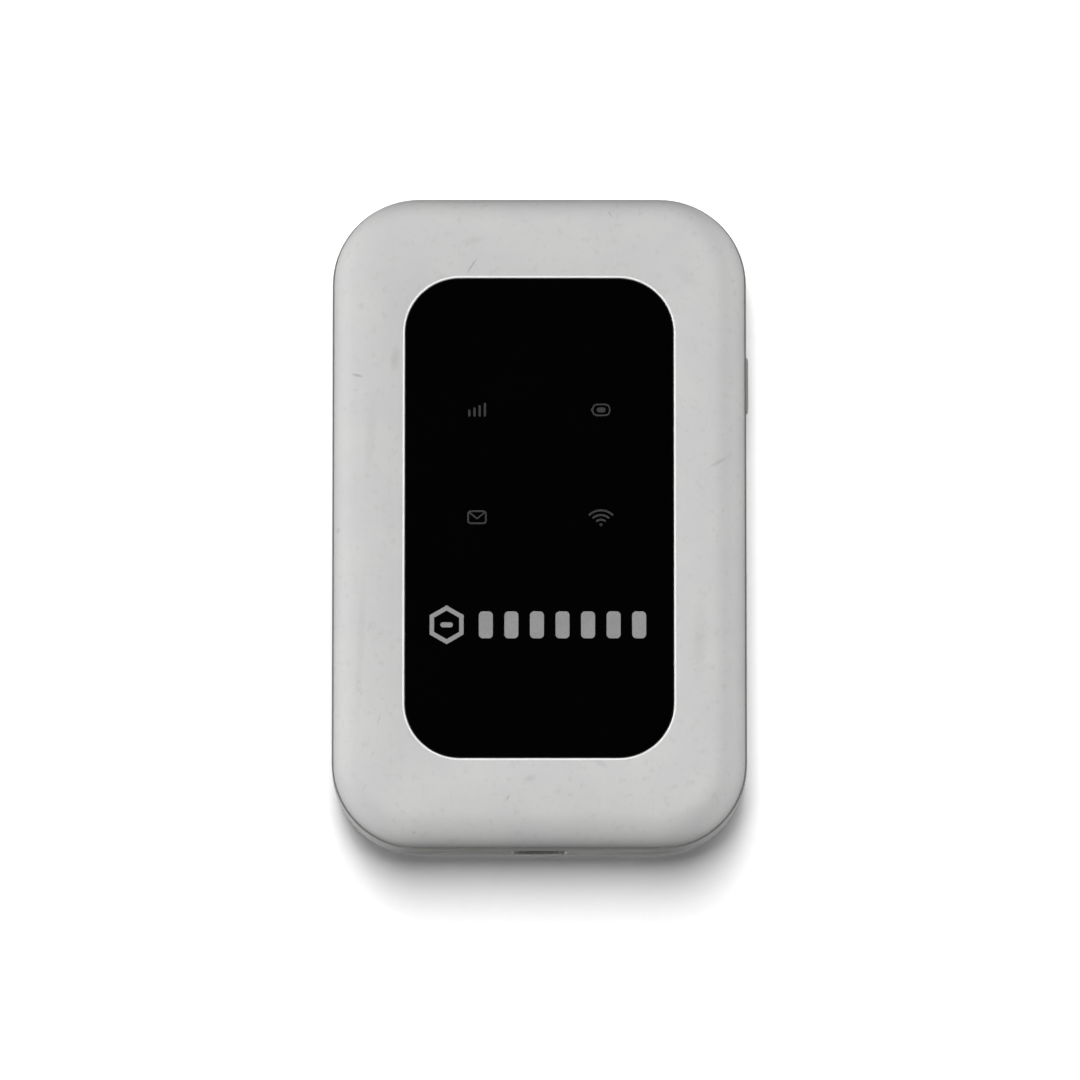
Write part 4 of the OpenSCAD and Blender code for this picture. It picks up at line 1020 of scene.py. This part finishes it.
# %% Build the power button
button_low, button_high = box_of("power_button")
KEY_Y, KEY_Z = 21.0, 6.65
KEY_L, KEY_H, KEY_R = 8.2, 2.5, 0.85
KEY_BACK = 28.9
crown = [(0, KEY_BACK), (0, button_high.x - 0.26), (0.03, button_high.x - 0.17),
         (0.1, button_high.x - 0.09), (0.22, button_high.x - 0.05), (0.55, button_high.x - 0.02),
         (0.8, button_high.x)]
key = loft(rings_of(crown, KEY_H, KEY_L, KEY_R))
on_its_side = Matrix.Translation((0, KEY_Y, KEY_Z)) @ Matrix.Rotation(math.pi / 2, 4, "Y")
bmesh.ops.transform(key, matrix=on_its_side, verts=key.verts)
power_key = mesh_piece("power_key", key, GREY_ABS)

# %% Join the flange and the arm
FLANGE_IN, FLANGE_OUT = 28.3, 29.0
FLANGE_HALF_L, FLANGE_HALF_H = 5.1, 2.25
flange = block((FLANGE_IN, KEY_Y - FLANGE_HALF_L, KEY_Z - FLANGE_HALF_H),
               (FLANGE_OUT, KEY_Y + FLANGE_HALF_L, KEY_Z + FLANGE_HALF_H))
combine(power_key, mesh_piece("flange", flange, GREY_ABS), "UNION")
# The arm stops short, so that at full travel it just misses the plunger's own end.
ARM_GAP, ARM_OUT, ARM_HALF_L, ARM_FOOT = 0.03, 28.4, 2.5, 5.4
arm = block((button_low.x + ARM_GAP, KEY_Y - ARM_HALF_L, ARM_FOOT),
            (ARM_OUT, KEY_Y + ARM_HALF_L, button_high.z))
combine(power_key, mesh_piece("arm", arm, GREY_ABS), "UNION")
place(power_key, "power_button", "grey_button", "power_button")

# %% [markdown]
# ## Micro-USB socket
#
# The socket's shell is folded from thin plated steel. Its mouth is a rounded
# outline, wide at the top and tapered below, with lips that flare a little so
# that the plug finds its way in. A sheet with Solidify would give the walls but
# not the flare. Rings of one outline, grown and shrunk along the depth, give the
# outside, the lip and the inside in one closed loft.

# %% Draw the socket's outline
shell_low, shell_high = box_of("usb_shell")
MOUTH_Y = shell_low.y
MOUTH_Z = (shell_low.z + shell_high.z) / 2
DEPTH = shell_high.y - shell_low.y
SHELL_T = 0.25
TAPER_W, TAPER_H = 0.7, 0.91
BEND, BEND_STEPS = 0.3, 6


def mouth_ring(grow_by, depth):
    """The socket's outline grown by an amount, at a depth from its mouth."""
    w = (shell_high.x - shell_low.x) / 2 + grow_by
    h = (shell_high.z - shell_low.z) / 2 + grow_by
    corners = [(-w, h), (w, h), (w, -h + TAPER_H), (w - TAPER_W, -h), (-w + TAPER_W, -h),
               (-w, -h + TAPER_H)]
    points = []
    for i in range(len(corners)):
        here, back, ahead = (Vector(corners[k % len(corners)]) for k in (i, i - 1, i + 1))
        into, out = (back - here).normalized() * BEND, (ahead - here).normalized() * BEND
        for step in range(BEND_STEPS + 1):
            t = step / BEND_STEPS
            bend = (1 - t) ** 2 * (here + into) + 2 * t * (1 - t) * here + t ** 2 * (here + out)
            points.append(Vector((bend.x, MOUTH_Y + depth, MOUTH_Z + bend.y)))
    return points


print("points round the mouth:", len(mouth_ring(0, 0)))

# %% Build the socket
MOUTH_SECTION = ((0, DEPTH), (0, 0.5), (0.06, 0.2), (0.12, 0.03), (0.08, 0), (-0.1, 0.01),
                 (-0.17, 0.12), (-SHELL_T, 0.5), (-SHELL_T, DEPTH - SHELL_T))
socket_shell = mesh_piece("socket_shell", loft([mouth_ring(*step) for step in MOUTH_SECTION]), NICKEL)
place(socket_shell, "case", "tinned_steel", "usb_shell")
softened("socket_tongue", "usb_insulator", BLACK_NYLON, "black_plastic", 0.06)
softened("socket_contacts", "usb_contacts", GOLD, "gold_plate", 0.02, 1)

# %% [markdown]
# ## Battery
#
# The battery is a lithium cell in a dark printed wrap, with a moulded header at
# the end that meets the pins. All of it is square and flat, so softened copies
# are enough. Its label is plain paper. A border, two rules and a plus and a minus
# sign beside the contacts are all that it needs, drawn with the icons' strokes.

# %% Dress the battery
softened("cell_can", "battery_cell", WRAP, "battery_wrap", 0.1)
softened("cell_header", "battery_header", DARK_CASE, "dark_plastic", 0.12)
softened("cell_contacts", "battery_pads", GOLD, "gold_plate", 0.04)
softened("cell_label", "battery_label", PAPER, "white_label", 0.02, 1)

# %% Print on a label
LABEL_MARGIN, RULE_W, RULE_T = 2, 0.35, 0.02


def label_reach(node):
    """Half the width and half the length that may be printed on a label."""
    low, high = box_of(node)
    return (high.x - low.x) / 2 - LABEL_MARGIN, (high.y - low.y) / 2 - LABEL_MARGIN


def print_label(name, node, *lines):
    """A border and lines in black ink on the underside of a label."""
    low, high = box_of(node)
    x, y = label_reach(node)
    border = [(-x, -y), (x, -y), (x, y), (-x, y), (-x, -y)]
    sheet = drawing(border, *lines, at=(0, (high.y + low.y) / 2))
    return grow(name, STROKES, sheet, BLACK_INK, Stroke=RULE_W, Thickness=RULE_T, Height=low.z)


lx, ly = label_reach("battery_label")
minus = [(-6.5, 2.5 - ly), (-4.5, 2.5 - ly)]
plus = [[(4.5, 2.5 - ly), (6.5, 2.5 - ly)], [(5.5, 1.5 - ly), (5.5, 3.5 - ly)]]
rules = [[(-lx + 4, y), (lx - 4, y)] for y in (ly - 6, ly - 9)]
place(print_label("label_print", "battery_label", minus, *plus, *rules), "battery", "dark_plastic")

# %% Dress the bay's label
softened("bay_label", "rating_label", PAPER, "white_label", 0.02, 1)
bx, by = label_reach("rating_label")
place(print_label("bay_print", "rating_label", [(-bx, by - 8), (bx, by - 8)]), "case", "white_label")

# %% [markdown]
# ## Screws
#
# Four small cross-head screws hold the case. A screw is a turned part, and a
# Screw modifier could turn its profile. The loft does the same with the rings
# used all along. Its thread is a stack of grooves, which is enough, because the
# bosses hide it. Two bars cut the cross, and the tree above sets the screw out in
# the four corners.

# %% Draw a screw's profile
screw_low, screw_high = box_of("case_screws")
SCREW_L = screw_high.z - screw_low.z
HEAD_R, HEAD_H, SHANK_R, TIP_R, TIP_L = 1.5, 1.0, 0.8, 0.3, 1.3
PITCH, GROOVE, TURNED_SIDES = 0.45, 0.12, 32
turned = [(HEAD_R - 0.25, 0), (HEAD_R - 0.06, 0.08), (HEAD_R, 0.28), (HEAD_R, HEAD_H - 0.06),
          (HEAD_R - 0.06, HEAD_H), (SHANK_R, HEAD_H)]
thread = HEAD_H
while thread < SCREW_L - TIP_L:
    turned += [(SHANK_R - GROOVE, thread + 0.12), (SHANK_R - GROOVE, thread + 0.2),
               (SHANK_R, thread + 0.35)]
    thread += PITCH
turned.append((TIP_R, SCREW_L))
print("profile points:", len(turned))

# %% Turn one screw and set out four
SCREW_PLACES = ((-15, 44.95, 20), (15, 44.95, 65), (-20.5, -42, 40), (20.5, -42, 5))
CROSS_L, CROSS_T, CROSS_DEPTH = 0.85, 0.18, 0.5
angles = [math.tau * k / TURNED_SIDES for k in range(TURNED_SIDES)]
screw = mesh_piece("screw", loft([
    [Vector((r * math.cos(a), r * math.sin(a), z)) for a in angles] for r, z in turned]), BLACK_ZINC)
for x, y in ((CROSS_L, CROSS_T), (CROSS_T, CROSS_L)):
    cross = block((-x, -y, -1), (x, y, CROSS_DEPTH))
    combine(screw, mesh_piece("cross", cross, BLACK_ZINC), "DIFFERENCE")
places = [(x, y, screw_low.z, turn) for x, y, turn in SCREW_PLACES]
place(set_out("cover_screws", as_drawing(screw), places, BLACK_ZINC),
      "case", "screw_steel", "case_screws")

# %% [markdown]
# ## SIM card and small parts that show
#
# With the battery out, the SIM holder, its card, the sprung pins and the reset
# key can be seen. They are stamped or moulded pieces. Each could be modelled
# again, but they are right in shape already, so each is a softened copy with its
# own finish. The table gives its name, its node, its finish, its slot and how
# wide its softened edge is in millimetres.

# %% Soften the small parts
SMALL_PARTS = (
    ("card_holder", "sim_holder", BLACK_NYLON, "black_plastic", 0.06),
    ("card_cover", "sim_shell", TIN, "tinned_steel", 0.03),
    ("card_springs", "sim_contacts", GOLD, "gold_plate", 0.03),
    ("card", "sim_card", CARD, "card_plastic", 0.08),
    ("card_contacts", "sim_card_pads", GOLD, "gold_plate", 0.01),
    ("pin_block", "battery_connector", BLACK_NYLON, "black_plastic", 0.08),
    ("pins", "battery_contacts", GOLD, "gold_plate", 0.05),
    ("switch_body", "power_switch", TIN, "bright_steel", 0.06),
    ("switch_plunger", "power_plunger", RED_NYLON, "red_plastic", 0.06),
    ("reset_body", "reset_switch", TIN, "bright_steel", 0.06),
    ("reset_key", "reset_plunger", BLACK_NYLON, "black_plastic", 0.06),
)
for name, node, material, slot, width in SMALL_PARTS:
    softened(name, node, material, slot, width)

# %% [markdown]
# ## The inside
#
# The board, its parts and the antennas are stamped, moulded and soldered pieces.
# Softened copies would cost triangles that hardly show, because the case hides
# nearly all of them even with the back off. So they stay as they were measured,
# and each gets the finish of its real material.

# %% Give the inside its finishes
INSIDE = {
    FOAM: ("lens_adhesive",),
    FILM: ("diffuser_film",),
    SOLDER_MASK: ("main_board",),
    BLACK_NYLON: ("light_baffle",),
    CERAMIC: ("led_signal", "led_battery", "led_message", "led_wifi", "capacitors"),
    TIN: ("rf_shield", "wifi_shield", "baseband_shield", "crystal"),
    CHIP_EPOXY: ("processor", "memory_chip", "power_chip", "rf_transceiver", "rf_amplifier", "wifi_chip"),
    SILICONE: ("thermal_pad",),
    FERRITE: ("power_inductors",),
    COPPER: ("main_antenna", "diversity_antenna", "wifi_antenna"),
    GOLD: ("antenna_springs",),
}
for material, nodes in INSIDE.items():
    for node in nodes:
        for slot in frame["nodes"][node].material_slots:
            slot.material = material
print("inside:", sum(len(nodes) for nodes in INSIDE.values()), "nodes in", len(INSIDE), "finishes")

# %% [markdown]
# ## Floor
#
# The floor is plain matte white paper. A curved backdrop could stand behind the
# case, but it would hide the back views, so this one is flat, and so far larger
# than the hotspot that no edge shows. A faint fibre keeps it from being a flat
# colour. It lies a hair below the case, and it is clear from below.

# %% Lay the floor
FLOOR_DROP = -0.05
FLOOR_REACH = 4000
sheet = bmesh.new()
bmesh.ops.create_grid(sheet, x_segments=1, y_segments=1, size=FLOOR_REACH,
                      matrix=Matrix.Translation((0, 0, FLOOR_DROP)))
material, tree, shader, where = finish("matte_white_paper", Roughness=0.9)
fibre = add(tree, "ShaderNodeTexNoise", {"Vector": where, "Scale": per_mm(1.5), "Detail": 3})
tone = add(tree, "ShaderNodeMix", {0: fibre, 6: paint("#F6F6F6"), 7: paint("#FAFAFA")}, data_type="RGBA")
feed(shader, {"Base Color": tone.outputs[2], "Specular IOR Level": 0.2})
clear = add(tree, "ShaderNodeBsdfTransparent", {})
side = add(tree, "ShaderNodeNewGeometry", {}).outputs["Backfacing"]
two_sided = add(tree, "ShaderNodeMixShader", {0: side, 1: shader, 2: clear})
feed(tree.nodes["Material Output"], {"Surface": two_sided})
floor = mesh_piece("floor", sheet, material)
# White paper this close would fill in the shade under the front shell's rim, so the
# case takes no light from the floor, and only the boxes and the room shape it.
floor.visible_glossy = False
floor.visible_diffuse = False
print("floor:", floor.name)

# %% [markdown]
# ## Studio light
#
# One studio light could do both jobs, but then a change to the case's shade would
# change its shadow too. So four soft boxes light the case from all round and leave
# the floor out, and one more lights only the floor, from behind on the left, and
# gives the single soft shadow towards the front and right. One box below shows the
# back, and the floor doesn't block it. The panel and the gloss of the case mirror
# only the room, which is grey round the horizon and dark above and below. So the
# panel reads black from above, and dark with a soft sheen from the sides.

# %% Light the room
world = scene.world or bpy.data.worlds.new("studio")
scene.world = world
world.use_nodes = True
tree = world.node_tree
sky = add(tree, "ShaderNodeSeparateXYZ", {0: add(tree, "ShaderNodeTexCoord", {}).outputs["Generated"]})
above = add(tree, "ShaderNodeMapRange", {
    "Value": sky.outputs["Z"], "From Min": 0.2, "From Max": 0.7, "To Min": 0.16, "To Max": 0.006},
    interpolation_type="SMOOTHSTEP")
below = add(tree, "ShaderNodeMapRange", {
    "Value": sky.outputs["Z"], "From Min": -0.1, "From Max": 0.1, "To Min": 0.02, "To Max": 0.16},
    interpolation_type="SMOOTHSTEP")
glow = add(tree, "ShaderNodeMath", {0: above, 1: below}, operation="MINIMUM")
# The wall behind the case is white to the eye, and adds little light.
seen = add(tree, "ShaderNodeLightPath", {}).outputs["Is Camera Ray"]
feed(tree.nodes["Background"], {"Color": add(tree, "ShaderNodeMix", {0: seen, 2: glow, 3: 1.0})})
scene.view_settings.view_transform = "Standard"
print("room:", world.name, "with", len(tree.nodes), "nodes")

# %% [markdown]
# Each box is placed by the direction that it shines from, as on a studio plan.
# Light linking then says what it lights and what may throw a shadow in it.

# %% Write a soft box
def softbox(name, azimuth, elevation, width, height, power):
    """A soft box a metre away that looks at the case; azimuth 0 is the front and 90 the right."""
    lamp = bpy.data.lights.new(name, "AREA")
    lamp.shape = "RECTANGLE"
    lamp.size, lamp.size_y, lamp.energy = width, height, power
    box = bpy.data.objects.new(name, lamp)
    a, e = math.radians(azimuth), math.radians(elevation)
    toward = Vector((math.sin(a) * math.cos(e), -math.cos(a) * math.cos(e), math.sin(e)))
    box.location = toward
    box.rotation_euler = toward.to_track_quat("Z", "Y").to_euler()
    scene.collection.objects.link(box)
    return box


print("boxes hang 1 m from the case")

# %% Hang the soft boxes
floor_only = bpy.data.collections.new("floor_only")
floor_only.objects.link(floor)
all_but_floor = bpy.data.collections.new("all_but_floor")
all_but_floor.objects.link(floor)
all_but_floor.collection_objects[0].light_linking.link_state = "EXCLUDE"

floor_key = softbox("floor_key", 188, 67, 0.5, 0.9, 16)
floor_key.light_linking.receiver_collection = floor_only
BOXES = (("left_box", 270, 25, 0.4, 0.3, 8.5), ("right_box", 90, 24, 0.4, 0.3, 5.9),
         ("front_box", 0, 62, 0.4, 0.3, 3.2), ("back_box", 180, 24, 0.4, 0.3, 3.3),
         ("under_box", 300, -87, 0.5, 0.5, 9.0))
for name, azimuth, elevation, width, height, power in BOXES:
    box = softbox(name, azimuth, elevation, width, height, power)
    # The panel would mirror a box as a hard white patch, so only the room shows in it.
    box.visible_glossy = False
    box.light_linking.receiver_collection = all_but_floor
    if elevation < 0:
        box.light_linking.blocker_collection = all_but_floor
print("lights:", 1 + len(BOXES))

# %% [markdown]
# ## Camera
#
# The camera looks down steeply from the front. An orthographic camera would show
# no perspective at all, but a real lens always shows a little. So it stands far
# away, behind a long lens.

# %% Place the camera
camera = bpy.data.objects.new("camera", bpy.data.cameras.new("camera"))
scene.collection.objects.link(camera)
VIEW_TILT = math.radians(80.7)
VIEW_FAR = 2
target = Vector((0.1, -2.17, 7.5)) * MM
toward = Vector((0, -math.cos(VIEW_TILT), math.sin(VIEW_TILT)))
camera.location = target + toward * VIEW_FAR
camera.rotation_euler = toward.to_track_quat("Z", "Y").to_euler()
camera.data.lens = 452.3
camera.data.clip_end = 20
scene.camera = camera
print("camera:", [round(v, 3) for v in camera.location])

# %% [markdown]
